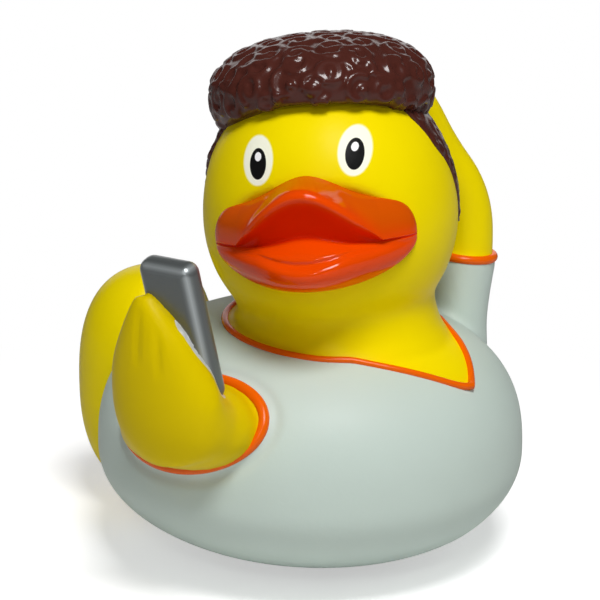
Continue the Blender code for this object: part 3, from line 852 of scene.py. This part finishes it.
def beak_section(angle):
    """One upright slice of the beak, from its root over the upper bill and the mouth to its root below.

    Each point is (distance off the face, height). share runs from 0 in the middle to 1 at a corner of the
    mouth, opened is 1 where the lips are apart, and bowl is 1 in the middle of the tongue. A pair of sizes
    has the one at the corner first. A plain share says how far a point lies between two named places.
    """
    sideways = math.sin(abs(angle))
    share = abs(angle) / BEAK_HALF_ANGLE
    end = math.sqrt(1.0 - share**BEAK_END_SQUARE)
    low_end = math.sqrt(1.0 - share**BEAK_LOW_END_SQUARE)
    bow = math.cos(share * math.pi / 2) ** BEAK_BOW
    peak = math.exp(-((HEAD_SIDE * sideways / BEAK_PEAK_HALF_WIDTH) ** 2))
    top = mix(BEAK_CORNER_Z, mix(BEAK_CHEEK_Z, BEAK_TOP_Z, peak), end)
    bottom = mix(BEAK_CORNER_Z, BEAK_BOTTOM_Z, low_end)
    cheek = BEAK_CHEEK_REACH * end
    upper = cheek + (BEAK_UPPER_REACH - BEAK_CHEEK_REACH) * bow
    lower = cheek + (BEAK_LOWER_REACH - BEAK_CHEEK_REACH) * bow
    mouth = (HEAD_SIDE + upper) * sideways / MOUTH_HALF_WIDTH
    opened = 1.0 - smoothstep(*MOUTH_CORNER_SPAN, mouth)
    line_across = (HEAD_SIDE + MOUTH_BACK_REACH) * sideways
    line = MOUTH_LINE_Z - MOUTH_LINE_DROP * (1.0 - math.exp(-((line_across / MOUTH_LINE_RISE) ** 2)))
    line = mix(BEAK_CORNER_Z, line, end)
    along_arch = min(1.0, math.hypot(mouth, MOUTH_ARCH_FLAT) - MOUTH_ARCH_FLAT)
    arch = MOUTH_ARCH_FOOT_Z + MOUTH_ARCH * (1.0 - along_arch**MOUTH_ARCH_ROUND)
    rim = max(arch, line + mix(*LIPS_APART, opened) * end)
    crest = rim + mix(*LIP_CREST, opened) * end
    roll = mix(*LIP_ROLL, opened) * end
    back = mix(cheek * 0.96, MOUTH_BACK_REACH, opened)
    tongue = (HEAD_SIDE + TONGUE_FOOT_REACH) * sideways / TONGUE_HALF_WIDTH
    bowl = 1.0 - tongue**2
    bowl = min(1.0, 0.5 * (bowl + math.hypot(bowl, TONGUE_SOFT)))
    foot = mix(line - TONGUE_DROP * end, TONGUE_FOOT_Z, bowl)
    foot_reach = mix(mix(back, lower, 0.45 * end), TONGUE_FOOT_REACH, bowl)
    lip = mix(bottom, foot, 0.72)
    valley = LIP_VALLEY * math.sin(math.pi * smoothstep(*LIP_VALLEY_SPAN, mouth)) * end
    pad = smoothstep(*LIP_PAD_SPAN, mouth)
    return [
        (-BEAK_ROOT, top - 0.2 * MM * end),
        (-0.3 * MM, top),
        (0.55 * MM * end, top - 0.10 * MM * end),
        (upper * mix(0.40, 0.82, pad) - valley * 0.7, mix(top, crest, 0.34)),
        (upper * mix(0.76, 0.98, pad) - valley, mix(top, crest, 0.72)),
        (upper, crest),
        (upper + roll, rim + 0.1 * MM * end),
        (upper + roll * 0.4, rim - 0.7 * MM * end * opened),
        (mix(back, upper * 0.9, 0.52 * opened), mix(rim, line, 0.42 + 0.1 * pad)),
        (mix(back, upper * 0.9, 0.12 * opened), mix(rim, line, 0.76 + 0.1 * pad)),
        (back - 0.3 * MM * opened, line + 0.05 * MM * end),
        (back + mix(0.15, 0.90, opened) * MM * end, line - 0.10 * MM * end),
        (mix(back, foot_reach, 0.66) + 0.25 * MM * bowl, mix(line, foot, 0.45)),
        (foot_reach + 0.20 * MM * bowl, foot + 0.75 * MM * bowl),
        (foot_reach - 0.12 * MM * bowl, foot),
        (mix(foot_reach, lower, 0.66), mix(foot, lip, 0.46)),
        (lower, lip),
        (lower * 0.97, mix(lip, bottom, 0.45)),
        (lower * 0.62, bottom + 0.35 * MM * low_end),
        (0.2 * MM * end, bottom),
        (-0.3 * MM, bottom + 0.05 * MM * low_end),
        (-BEAK_ROOT, bottom + 0.3 * MM * low_end),
    ]


def through(points, steps):
    """A closed smooth line near the points, with steps points from each to the next.

    It lies between a curve that rounds the points off and one that goes exactly through them.
    """
    made = []
    count = len(points)
    for index in range(count):
        before, start, end, after = (Vector(points[(index + shift) % count]) for shift in (-1, 0, 1, 2))
        for step in range(steps):
            t = step / steps
            round_one = before * (1.0 - t) ** 3 + start * (3.0 * t**3 - 6.0 * t**2 + 4.0)
            round_one += end * (1.0 + 3.0 * t + 3.0 * t**2 - 3.0 * t**3) + after * t**3
            bend = 2.0 * before - 5.0 * start + 4.0 * end - after
            twist = 3.0 * start - before - 3.0 * end + after
            exact = 0.5 * (2.0 * start + (end - before) * t + bend * t * t + twist * t * t * t)
            made.append(mix(exact, round_one / 6.0, ROUNDED_SHARE))
    return made


work = bmesh.new()
in_hollow = []
on_upper = []
loops = []
for index in range(BEAK_SLICES):
    angle = BEAK_HALF_ANGLE * math.sin((index / (BEAK_SLICES - 1) - 0.5) * math.pi) * BEAK_SPREAD
    loop = []
    for step, (stand_off, height) in enumerate(through(beak_section(angle), BEAK_STEPS)):
        radius = face_radius(height) + stand_off
        loop.append(work.verts.new((radius * math.sin(angle), -radius * math.cos(angle), height)))
        point = step / BEAK_STEPS
        in_hollow.append(smoothstep(*HOLLOW_FROM, point) * (1.0 - smoothstep(*HOLLOW_TO, point)))
        on_upper.append(1.0 - smoothstep(*UPPER_TO, point))
    loops.append(loop)
join_loops(work, loops)
work.transform(HEAD)
beak = mesh_object("beak", work)
store(beak, "in_hollow", in_hollow)
store(beak, "on_upper", on_upper)
beak_paint, tree, shader, surface = finish("orange_vinyl", {"Peel Depth": BEAK_PEEL})
colour = faded(tree, surface, BEAK_ORANGE, ORANGE_FADED)
# The upper bill's outside: painted shade with a painted yellow bounce.
colour = blended(tree, attribute(tree, "on_upper"), colour, UPPER_SHADE_ORANGE)
# Darker red in the hollow between the lips: painted shade.
colour = blended(tree, attribute(tree, "in_hollow"), colour, HOLLOW_SHADE_RED)
tree.links.new(colour, shader.inputs["Base Color"])
roughen(tree, shader, BEAK_ROUGH, (surface.outputs["Blotch"], BLOTCH_ROUGH))
two_sheens(tree, shader, attribute(tree, "in_hollow"), LIP_SHEEN, HOLLOW_SHEEN)
dress(beak, beak_paint)
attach(beak, "root")

# The hair. A thick curly crown over the brow and a short crop round the sides and the back, cast in relief
# with the head and painted a glossy reddish brown. Each curl is a flat spiral strand on the form under it.
CROWN_MIDDLE = Vector((-0.3, 1.0, 20.6)) * MM
CROWN_SIDE = 18.5 * MM
CROWN_FRONT = 18.2 * MM
CROWN_BACK = 18.6 * MM
CROWN_UP = 9.3 * MM
CROWN_DOWN_FRONT = 0.9 * MM
CROWN_DOWN_SIDE = 10.2 * MM
CROWN_SQUARE = 2.25
CROWN_BROW_SQUARE = 4.0
CROWN_RISE_RIGHT = 1.5
CROWN_RISE_LEFT = 0.6
BROW_TUCK = 0.05
BROW_TUCK_SPAN = (-0.1, 0.45)
BROW_SQUARE_SPAN = (0.0, -0.2)
CROWN_VOXEL = 0.3 * MM
CROWN_SOFTEN = 7
CROWN_SEED = 4
CROP_GRID = (192, 128)
CROP_THICK = 0.4 * MM
CROP_SUNK = 4.0 * MM
CROP_EDGE = 0.5 * MM
CROP_VOXEL = 0.35 * MM
CROP_SOFTEN = 3
CROP_SEED = 9
CROP_STRAND = 0.35 * MM
CROP_STRAND_SUNK = 0.1 * MM
NAPE_Z = -11.0 * MM
# How many degrees round from the front the short hair begins at the nape, and how it comes forward above:
# each step has its degrees, and the heights from the head's middle where it starts and ends, in millimetres.
HAIRLINE_LOWEST = 120.0
HAIRLINE_STEPS = ((30.0, -12.0, 6.0), (16.0, 4.5, 13.5), (8.0, 12.0, 18.0))
CURL_SPACING = 5.0 * MM
CURL_OUTSIDE = 2.9 * MM
CURL_INSIDE = 0.5 * MM
CURL_TURNS = 1.35
CURL_SCALES = (0.82, 1.16)
CURL_POINTS = 26
CURL_TRIES = 4000000.0
STRAND_RADIUS = 0.72 * MM
STRAND_SUNK = 0.12 * MM
STRAND_SIDES = 10
STRAND_START = 1.15
STRAND_TAPER = 0.25
BROW_CURL_STEPS = 24
BROW_CURL_TALL = 1.2
BROW_CURL_START = 1.1
BROW_CURL_TAPER = 0.3
BROW_CLEAR_FRONT = (0.45, 0.62)
BROW_CLEAR_TOP = (0.34, 0.44)
# Each strand over the brow: its angles round from the crown's front and up, its outer and inner radius, the
# angle it starts at, and its turns. Each swelling: the same two angles, its half-width and its half-height.
BROW_CURLS = (
    (16.0, 14.0, 2.2, 1.0, 200.0, -1.3),
    (-9.0, 10.0, 2.5, 1.7, 60.0, 0.66),
    (30.0, 4.0, 2.4, 1.0, 40.0, 0.95),
    (6.0, 7.0, 2.1, 1.7, 10.0, 0.5),
    (36.0, 16.0, 1.6, 0.9, 300.0, 0.6),
    (44.0, 2.0, 2.1, 0.8, 120.0, -1.2),
    (-30.0, 7.0, 2.4, 0.8, 250.0, -1.3),
    (-27.0, 20.0, 2.4, 0.8, 90.0, 1.3),
    (-3.0, 22.0, 2.2, 0.9, 160.0, 1.2),
    (-20.0, -1.0, 1.6, 1.2, 300.0, -0.6),
    (56.0, 12.0, 2.3, 0.8, 30.0, 1.3),
    (22.0, 27.0, 2.3, 0.8, 270.0, 1.2),
    (-48.0, 13.0, 2.4, 0.8, 200.0, 1.3),
    (10.0, -2.0, 1.4, 1.0, 30.0, 0.5),
    (-57.0, 1.0, 2.4, 0.8, 100.0, 1.3),
    (-42.0, 24.0, 2.3, 0.8, 20.0, -1.3),
    (-43.0, -1.0, 2.2, 0.8, 300.0, -1.2),
)
BROW_DOMES = (
    (16.0, 14.0, 0.9, 1.4),
    (-6.0, 8.5, 0.8, 0.8),
    (6.0, 6.0, 1.4, 1.3),
    (32.0, 3.0, 0.9, 1.0),
    (-14.0, 3.0, 0.8, 1.3),
    (54.0, 1.0, 1.0, 1.4),
)
DOME_HIGH = 0.8 * MM
DOME_GRID = (24, 16)
HAIR_BROWN = (0.078, 0.019, 0.013)
HAIR_FADED = 0.8
HAIR_ROUGH = 0.15
HAIR_BLOTCH_ROUGH = 0.12
HAIR_PEEL = 0.01
HAIR_SHEEN = 0.35


def hairline(height):
    """The angle from straight ahead at which the short hair begins, at a height from the head's middle."""
    forward = sum(angle * smoothstep(low * MM, high * MM, height) for angle, low, high in HAIRLINE_STEPS)
    return math.radians(HAIRLINE_LOWEST - forward)


def crown_form():
    """The thick front of the hair. Its underside is high over the brow and low at the temples and back."""
    work = ball(*EGG_GRID)
    for vertex in work.verts:
        way = vertex.co.normalized()
        toward_brow = max(0.0, -way.y) / max(0.001, math.hypot(way.x, way.y))
        rise = toward_brow ** (CROWN_RISE_RIGHT if way.x < 0.0 else CROWN_RISE_LEFT)
        down = mix(CROWN_DOWN_SIDE, CROWN_DOWN_FRONT, rise)
        tuck = 1.0 - BROW_TUCK * toward_brow * (1.0 - smoothstep(*BROW_TUCK_SPAN, way.z))
        length = CROWN_FRONT * tuck if way.y < 0.0 else CROWN_BACK
        size = Vector((way.x * CROWN_SIDE, way.y * length, way.z * (CROWN_UP if way.z > 0.0 else down)))
        squared = toward_brow * smoothstep(*BROW_SQUARE_SPAN, way.z)
        vertex.co = CROWN_MIDDLE + size * rounded(way, mix(CROWN_SQUARE, CROWN_BROW_SQUARE, squared))
    return mesh_object("crown", work)


def direction(around, above):
    """The way that points so many degrees round from straight ahead to the duck's left, and up from level."""
    around, above = math.radians(around), math.radians(above)
    return Vector((math.sin(around) * math.cos(above), -math.cos(around) * math.cos(above), math.sin(above)))


def brow_spot(form_surface, around, above):
    """The place on the crown at these angles from its front, and its ways to the right, up and out."""
    way = direction(around, above)
    place, out = form_surface.ray_cast(CROWN_MIDDLE + way * 2.0 * CROWN_SIDE, -way)[:2]
    right = Vector((0.0, 0.0, 1.0)).cross(out).normalized()
    return place, right, out.cross(right), out


def brow_curl(form_surface, around, above, outside, inside, start, turns):
    """A strand that winds from outside to inside, in millimetres, over the crown's surface."""
    middle, right, up, _ = brow_spot(form_surface, around, above)
    route = []
    for step in range(BROW_CURL_STEPS + 1):
        share = step / BROW_CURL_STEPS
        angle = math.radians(start + 360.0 * turns * share)
        reach = mix(outside, inside, share) * MM
        away = right * math.cos(angle) + up * BROW_CURL_TALL * math.sin(angle)
        place, out = form_surface.find_nearest(middle + away * reach)[:2]
        radius = STRAND_RADIUS / MM * (BROW_CURL_START - BROW_CURL_TAPER * share)
        route.append((*((place - out * STRAND_SUNK) / MM), radius))
    return tube("brow_curl", route, smooth=False, sides=3)


def brow_dome(form_surface, around, above, wide, tall):
    """A low swelling between the strands."""
    place, right, up, out = brow_spot(form_surface, around, above)
    work = ball(*DOME_GRID)
    for vertex in work.verts:
        x, y, z = vertex.co
        vertex.co = place + right * (x * wide * MM) + up * (y * tall * MM) + out * (z * DOME_HIGH)
    return mesh_object("brow_dome", work)


def crown_with_brow():
    """The crown's form with the curls over the brow, placed one by one. The rest of it is left to the
    scatter.
    """
    form = crown_form()
    form_surface = surface_of([form])
    parts = [form] + [brow_curl(form_surface, *curl) for curl in BROW_CURLS]
    parts += [brow_dome(form_surface, *dome) for dome in BROW_DOMES]
    made = merge("crown", parts)
    room = []
    for vertex in made.data.vertices:
        way = (vertex.co - CROWN_MIDDLE).normalized()
        room.append(max(1.0 - smoothstep(*BROW_CLEAR_FRONT, -way.y), smoothstep(*BROW_CLEAR_TOP, way.z)))
    store(made, "curl_room", room)
    made.data.transform(HEAD)
    return made


def crop_form():
    """Short hair: the head's own egg, proud of the skin behind the hairline and sunk out of sight ahead."""
    work = ball(*CROP_GRID)
    for vertex in work.verts:
        way = vertex.co.normalized()
        skin = head_skin(way)
        behind = (math.atan2(abs(way.x), -way.y) - hairline(skin.z)) * HEAD_SIDE
        share = smoothstep(-CROP_EDGE, CROP_EDGE, min(behind, skin.z - NAPE_Z))
        vertex.co = skin + way * mix(-CROP_SUNK, CROP_THICK, share)
    work.transform(HEAD)
    made = mesh_object("crop", work)
    store(made, "curl_room", [1.0] * len(made.data.vertices))
    return made


def curl_tree():
    """Spiral strands that are scattered over a form at an even spacing and laid down on it."""
    tree = bpy.data.node_groups.new("curls", "GeometryNodeTree")
    inputs = (
        ("Geometry", "Geometry", None),
        ("Spacing", "Float", CURL_SPACING),
        ("Outside", "Float", CURL_OUTSIDE),
        ("Inside", "Float", CURL_INSIDE),
        ("Turns", "Float", CURL_TURNS),
        ("Strand", "Float", STRAND_RADIUS),
        ("Sunk", "Float", STRAND_SUNK),
        ("Seed", "Int", CROWN_SEED),
        ("Paint", "Material", None),
    )
    add_sockets(tree, "INPUT", inputs)
    add_sockets(tree, "OUTPUT", [("Geometry", "Geometry", None)])
    given, made, room, scatter, spiral, sown, real, near, normal, face, sink, laid = steps_of(
        tree,
        "NodeGroupInput",
        "NodeGroupOutput",
        "GeometryNodeInputNamedAttribute",
        "GeometryNodeDistributePointsOnFaces",
        "GeometryNodeCurveSpiral",
        "GeometryNodeInstanceOnPoints",
        "GeometryNodeRealizeInstances",
        "GeometryNodeProximity",
        "GeometryNodeSampleNearestSurface",
        "GeometryNodeInputNormal",
        "ShaderNodeVectorMath",
        "GeometryNodeSetPosition",
    )
    turn, size, side, about, spin, scale, along, profile, strand, joined, flat, painted = steps_of(
        tree,
        "FunctionNodeRandomValue",
        "FunctionNodeRandomValue",
        "FunctionNodeRandomValue",
        "FunctionNodeAxisAngleToRotation",
        "FunctionNodeRotateRotation",
        "ShaderNodeCombineXYZ",
        "GeometryNodeSplineParameter",
        "GeometryNodeCurvePrimitiveCircle",
        "GeometryNodeCurveToMesh",
        "GeometryNodeJoinGeometry",
        "GeometryNodeRealizeInstances",
        "GeometryNodeSetMaterial",
    )
    scatter.distribute_method = "POISSON"
    side.data_type = "BOOLEAN"
    spin.rotation_space = "LOCAL"
    near.target_element = "FACES"
    normal.data_type = "FLOAT_VECTOR"
    sink.operation = "SCALE"
    set_up(room, {"Name": "curl_room"})
    set_up(scatter, {"Density Max": CURL_TRIES})
    set_up(spiral, {"Resolution": CURL_POINTS, "Height": 0.0})
    set_up(turn, {2: 0.0, 3: 2.0 * math.pi})
    set_up(size, {2: CURL_SCALES[0], 3: CURL_SCALES[1]})
    set_up(about, {"Axis": (0.0, 0.0, 1.0)})
    set_up(profile, {"Resolution": STRAND_SIDES, "Radius": 1.0})
    set_up(strand, {"Fill Caps": True})
    for index, random in enumerate((turn, size, side)):
        seed = calculate(tree, "ADD", given.outputs["Seed"], 10.0 * (index + 1))
        tree.links.new(seed, random.inputs["Seed"])
    mirrored = calculate(tree, "MULTIPLY_ADD", side.outputs[3], 2.0, -1.0)
    tree.links.new(calculate(tree, "MULTIPLY", size.outputs[1], mirrored), scale.inputs["X"])
    tree.links.new(calculate(tree, "MULTIPLY", given.outputs["Sunk"], -1.0), sink.inputs["Scale"])
    thick = calculate(tree, "MULTIPLY_ADD", along.outputs["Factor"], -STRAND_TAPER, STRAND_START)
    tree.links.new(calculate(tree, "MULTIPLY", thick, given.outputs["Strand"]), strand.inputs["Scale"])
    connect(
        tree,
        (given, "Geometry", scatter, "Mesh"),
        (given, "Spacing", scatter, "Distance Min"),
        (given, "Seed", scatter, "Seed"),
        (room, "Attribute", scatter, "Density Factor"),
        (given, "Turns", spiral, "Rotations"),
        (given, "Inside", spiral, "Start Radius"),
        (given, "Outside", spiral, "End Radius"),
        (turn, 1, about, "Angle"),
        (scatter, "Rotation", spin, "Rotation"),
        (about, "Rotation", spin, "Rotate By"),
        (size, 1, scale, "Y"),
        (size, 1, scale, "Z"),
        (scatter, "Points", sown, "Points"),
        (spiral, "Curve", sown, "Instance"),
        (spin, "Rotation", sown, "Rotation"),
        (scale, "Vector", sown, "Scale"),
        (sown, "Instances", real, "Geometry"),
        (given, "Geometry", near, "Target"),
        (given, "Geometry", normal, "Mesh"),
        (face, "Normal", normal, "Value"),
        (normal, "Value", sink, "Vector"),
        (real, "Geometry", laid, "Geometry"),
        (near, "Position", laid, "Position"),
        (sink, "Vector", laid, "Offset"),
        (laid, "Geometry", strand, "Curve"),
        (profile, "Curve", strand, "Profile Curve"),
        (given, "Geometry", joined, "Geometry"),
        (strand, "Mesh", joined, "Geometry"),
        (joined, "Geometry", flat, "Geometry"),
        (flat, "Geometry", painted, "Geometry"),
        (given, "Paint", painted, "Material"),
        (painted, "Geometry", made, "Geometry"),
    )
    return tree


def curled(form, voxel, soften, settings):
    """The form with curls on it, as one painted skin. settings has values for named inputs of the curls."""
    grown = form.modifiers.new("curls", "NODES")
    grown.node_group = curls
    for item in curls.interface.items_tree:
        if item.in_out == "INPUT" and item.name in settings:
            grown[item.identifier] = settings[item.name]
    made = one_skin(form, voxel, soften)
    dress(made, hair_paint)
    return made


hair_paint, tree, shader, surface = finish("brown_paint", {"Peel Depth": HAIR_PEEL})
tree.links.new(faded(tree, surface, HAIR_BROWN, HAIR_FADED), shader.inputs["Base Color"])
roughen(tree, shader, HAIR_ROUGH, (surface.outputs["Blotch"], HAIR_BLOTCH_ROUGH))
set_up(shader, {"Specular IOR Level": HAIR_SHEEN})
curls = curl_tree()
crown = curled(crown_with_brow(), CROWN_VOXEL, CROWN_SOFTEN, {"Seed": CROWN_SEED, "Paint": hair_paint})
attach(crown, "root")
crop_settings = {"Seed": CROP_SEED, "Strand": CROP_STRAND, "Sunk": CROP_STRAND_SUNK, "Paint": hair_paint}
crop = curled(crop_form(), CROP_VOXEL, CROP_SOFTEN, crop_settings)
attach(crop, "root")

# The phone. A slab with soft edges, cast with the hand that holds it and painted a satin metallic grey. The
# paint is lighter along the rounded edges, partly rubbed paint and partly a painted highlight. Its form is
# worked out with the casting, which holds it.
PHONE_GREY = (0.15, 0.165, 0.165)
RUBBED_SILVER_HIGHLIGHT = (0.50, 0.54, 0.55)
PHONE_FADED = 0.9
PHONE_METAL = 0.5
PHONE_ROUGH = 0.24
PHONE_BLOTCH_ROUGH = 0.12
PHONE_PEEL_SIZE = 3200.0
PHONE_PEEL_DEPTH = 0.03

phone = phone_form()
phone_peel = {"Peel Size": PHONE_PEEL_SIZE, "Peel Depth": PHONE_PEEL_DEPTH}
phone_paint, tree, shader, surface = finish("silver_paint", phone_peel)
grey = faded(tree, surface, PHONE_GREY, PHONE_FADED)
# Lighter silver along the rounded edges: partly rubbed paint, partly a painted highlight.
tree.links.new(blended(tree, attribute(tree, "rub_and_highlight"), grey, RUBBED_SILVER_HIGHLIGHT), shader.inputs["Base Color"])
roughen(tree, shader, PHONE_ROUGH, (surface.outputs["Blotch"], PHONE_BLOTCH_ROUGH))
set_up(shader, {"Metallic": PHONE_METAL})
dress(phone, phone_paint)
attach(phone, "root")

# The edging. Raised cords round the collar and the two cuffs, cast with the skin and painted orange by hand.
# The collar's runs round the neck and drops to a point on the chest.
PIPING_RADIUS = 0.62 * MM
CUFF_RADIUS = 0.9 * MM
COLLAR_STEPS = 144
COLLAR_EASE = 6
LEFT_CUFF_MIDDLE = Vector((30.1, -12.4, 47.8)) * MM
LEFT_CUFF_TURN = 5.05 * MM
LEFT_CUFF_RADIUS = 0.8 * MM
LEFT_CUFF_SLOPE = Vector((-0.06, 0.09, 0.0))
LEFT_CUFF_STEPS = 48
EDGING_ORANGE = (0.90, 0.13, 0.0)
EDGING_FADED = 0.88
EDGING_ROUGH = 0.24
EDGING_RUB_ROUGH = 0.25
EDGING_SHEEN = 0.25

edging_paint, tree, shader, surface = finish("orange_paint", {})
tree.links.new(faded(tree, surface, EDGING_ORANGE, EDGING_FADED), shader.inputs["Base Color"])
roughen(tree, shader, EDGING_ROUGH, (surface.outputs["Rub"], EDGING_RUB_ROUGH))
set_up(shader, {"Specular IOR Level": EDGING_SHEEN})


def edging(name, route, radius):
    """A cord of this radius that closes on itself through the places of the route."""
    cord = tube(name, [(*(place / MM), radius / MM) for place in route], closed=True, smooth=False)
    dress(cord, edging_paint)
    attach(cord, "root")


collar_line = []
for angle in angles(COLLAR_STEPS, -180.0):
    radius = collar_radius(angle)
    above = Vector((radius * math.sin(angle), -NECK_FORWARD - radius * math.cos(angle), HEAD_MIDDLE.z))
    collar_line.append(chest.ray_cast(above, Vector((0.0, 0.0, -1.0)))[0])
for _ in range(COLLAR_EASE):
    heights = [place.z for place in collar_line]
    for place, before, after in zip(collar_line, heights[-1:] + heights[:-1], heights[1:] + heights[:1]):
        place.z = (before + 2.0 * place.z + after) / 4.0
edging("collar_edging", collar_line, PIPING_RADIUS)
edging("right_cuff", cuff_line, CUFF_RADIUS)
left_line = []
for angle in angles(LEFT_CUFF_STEPS):
    around = Vector((math.cos(angle), math.sin(angle), 0.0)) * LEFT_CUFF_TURN
    around.z = around.dot(LEFT_CUFF_SLOPE)
    left_line.append(LEFT_CUFF_MIDDLE + around)
edging("left_cuff", left_line, LEFT_CUFF_RADIUS)

# The squeaker. A plug of translucent plastic with an air hole, turned to shape and pressed into the base. It
# closes the hollow casting, and the air that a squeeze drives through it makes it chirp.
SQUEAKER_CLEAR = (0.80, 0.80, 0.76)
SQUEAKER_FADED = 0.9
SQUEAKER_ROUGH = 0.4
SQUEAKER_DEEP = 1.5 * MM

plug_plastic, tree, shader, surface = finish("clear_plastic", {})
tree.links.new(faded(tree, surface, SQUEAKER_CLEAR, SQUEAKER_FADED), shader.inputs["Base Color"])
set_up(shader, {"Roughness": SQUEAKER_ROUGH, "Subsurface Weight": 0.3, "Subsurface Scale": SQUEAKER_DEEP})
set_up(shader, {"Subsurface Radius": (1.0, 1.0, 1.0)})
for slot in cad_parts["squeaker"].material_slots:
    slot.material = plug_plastic

# The studio. A pale floor that runs on into a white backdrop, soft light from above the camera, and a camera
# at the photograph's angle. None of it is part of the duck.
CAMERA_AROUND = 55.0
CAMERA_ABOVE = 16.0
CAMERA_FAR = 400.0 * MM
CAMERA_AIM = Vector((-1.09, 1.556, 44.1)) * MM - MIDDLE
CAMERA_LENS = 140.35
CAMERA_SENSOR = 36.0
CAMERA_NEAREST = 10.0 * MM
LAMP_AIM = Vector((0.0, 0.0, 45.0)) * MM


def aim(name, data, middle, way, far):
    """A camera or a lamp that stands off from the middle and looks back at it."""
    stand = placed(name, data)
    stand.location = middle + way * far
    stand.rotation_euler = (-way).to_track_quat("-Z", "Y").to_euler()
    return stand


def softbox(name, around, above, far, wide, power):
    """A square soft light. around is its angle from the duck's front towards its right."""
    lamp = bpy.data.lights.new(name, "AREA")
    lamp.size = wide
    lamp.energy = power
    aim(name, lamp, LAMP_AIM, direction(-around, above), far)


camera = bpy.data.cameras.new("camera")
camera.sensor_width = CAMERA_SENSOR
camera.lens = CAMERA_LENS
camera.clip_start = CAMERA_NEAREST
away = direction(-CAMERA_AROUND, CAMERA_ABOVE)
bpy.context.scene.camera = aim("camera", camera, CAMERA_AIM, away, CAMERA_FAR)
softbox("key", around=39.0, above=60.0, far=0.70, wide=0.23, power=4.05)
softbox("front", around=60.0, above=30.0, far=0.80, wide=0.07, power=0.45)

FLOOR_SIZE = 4.0
FLOOR_GAP = 0.01 * MM
FLOOR_ROUGH = 0.9
FLOOR_PALE = 0.90
FLOOR_IN_GLOSS = 0.65
FLOOR_LIFT = 0.50
SHADOW_REACH = (55.0 * MM, 130.0 * MM)


def seen_through(tree, rays):
    """1 for what the camera sees, straight or through something clear."""
    return calculate(tree, "MAXIMUM", rays.outputs["Is Camera Ray"], rays.outputs["Is Transmission Ray"])


floor_work = bmesh.new()
bmesh.ops.create_grid(floor_work, x_segments=1, y_segments=1, size=FLOOR_SIZE)
floor = mesh_object("floor", floor_work)
floor.location.z = -FLOOR_GAP
floor_paint = bpy.data.materials.new("pale_floor")
floor_paint.use_nodes = True
tree = floor_paint.node_tree
shader = tree.nodes["Principled BSDF"]
set_up(shader, {"Roughness": FLOOR_ROUGH, "Specular IOR Level": 0.0})
white, mixed, rays, where, reach, lift, lifted = steps_of(
    tree,
    "ShaderNodeEmission",
    "ShaderNodeMixShader",
    "ShaderNodeLightPath",
    "ShaderNodeTexCoord",
    "ShaderNodeVectorMath",
    "ShaderNodeEmission",
    "ShaderNodeAddShader",
)
reach.operation = "LENGTH"
connect(
    tree,
    (where, "Object", reach, 0),
    (shader, "BSDF", lifted, 0),
    (lift, "Emission", lifted, 1),
    (lifted, "Shader", mixed, 1),
    (white, "Emission", mixed, 2),
    (mixed, "Shader", tree.nodes["Material Output"], "Surface"),
)
beyond = between(tree, reach.outputs["Value"], *SHADOW_REACH)
looks = seen_through(tree, rays)
tree.links.new(calculate(tree, "MULTIPLY", beyond, looks), mixed.inputs["Fac"])
tree.links.new(calculate(tree, "MULTIPLY", looks, FLOOR_LIFT), lift.inputs["Strength"])
pale = calculate(tree, "MULTIPLY_ADD", rays.outputs["Is Glossy Ray"], FLOOR_IN_GLOSS - FLOOR_PALE, FLOOR_PALE)
tree.links.new(pale, shader.inputs["Base Color"])
floor.data.materials.append(floor_paint)

# The world is a faint fill light. The camera sees it white, and so does gloss on the side of the backdrop.
AMBIENT = 0.09
GLOSSY_AMBIENT = 0.04
BACKDROP_SIDE = Vector((0.79, 0.61, 0.0))
BACKDROP_EDGE = (0.80, 0.94)

world = bpy.data.worlds.new("studio")
bpy.context.scene.world = world
world.use_nodes = True
tree = world.node_tree
background = tree.nodes["Background"]
set_up(background, {"Color": (1.0, 1.0, 1.0, 1.0)})
rays, where, facing = steps_of(tree, "ShaderNodeLightPath", "ShaderNodeTexCoord", "ShaderNodeVectorMath")
facing.operation = "DOT_PRODUCT"
set_up(facing, {1: BACKDROP_SIDE})
connect(tree, (where, "Generated", facing, 0))
glossy = rays.outputs["Is Glossy Ray"]
backdrop = calculate(tree, "MULTIPLY", between(tree, facing.outputs["Value"], *BACKDROP_EDGE), glossy)
fill = calculate(tree, "MULTIPLY_ADD", glossy, GLOSSY_AMBIENT - AMBIENT, AMBIENT)
seen = calculate(tree, "MAXIMUM", seen_through(tree, rays), backdrop)
tree.links.new(calculate(tree, "MAXIMUM", seen, fill), background.inputs["Strength"])

bpy.context.scene.view_settings.view_transform = "Standard"
bpy.context.view_layer.update()
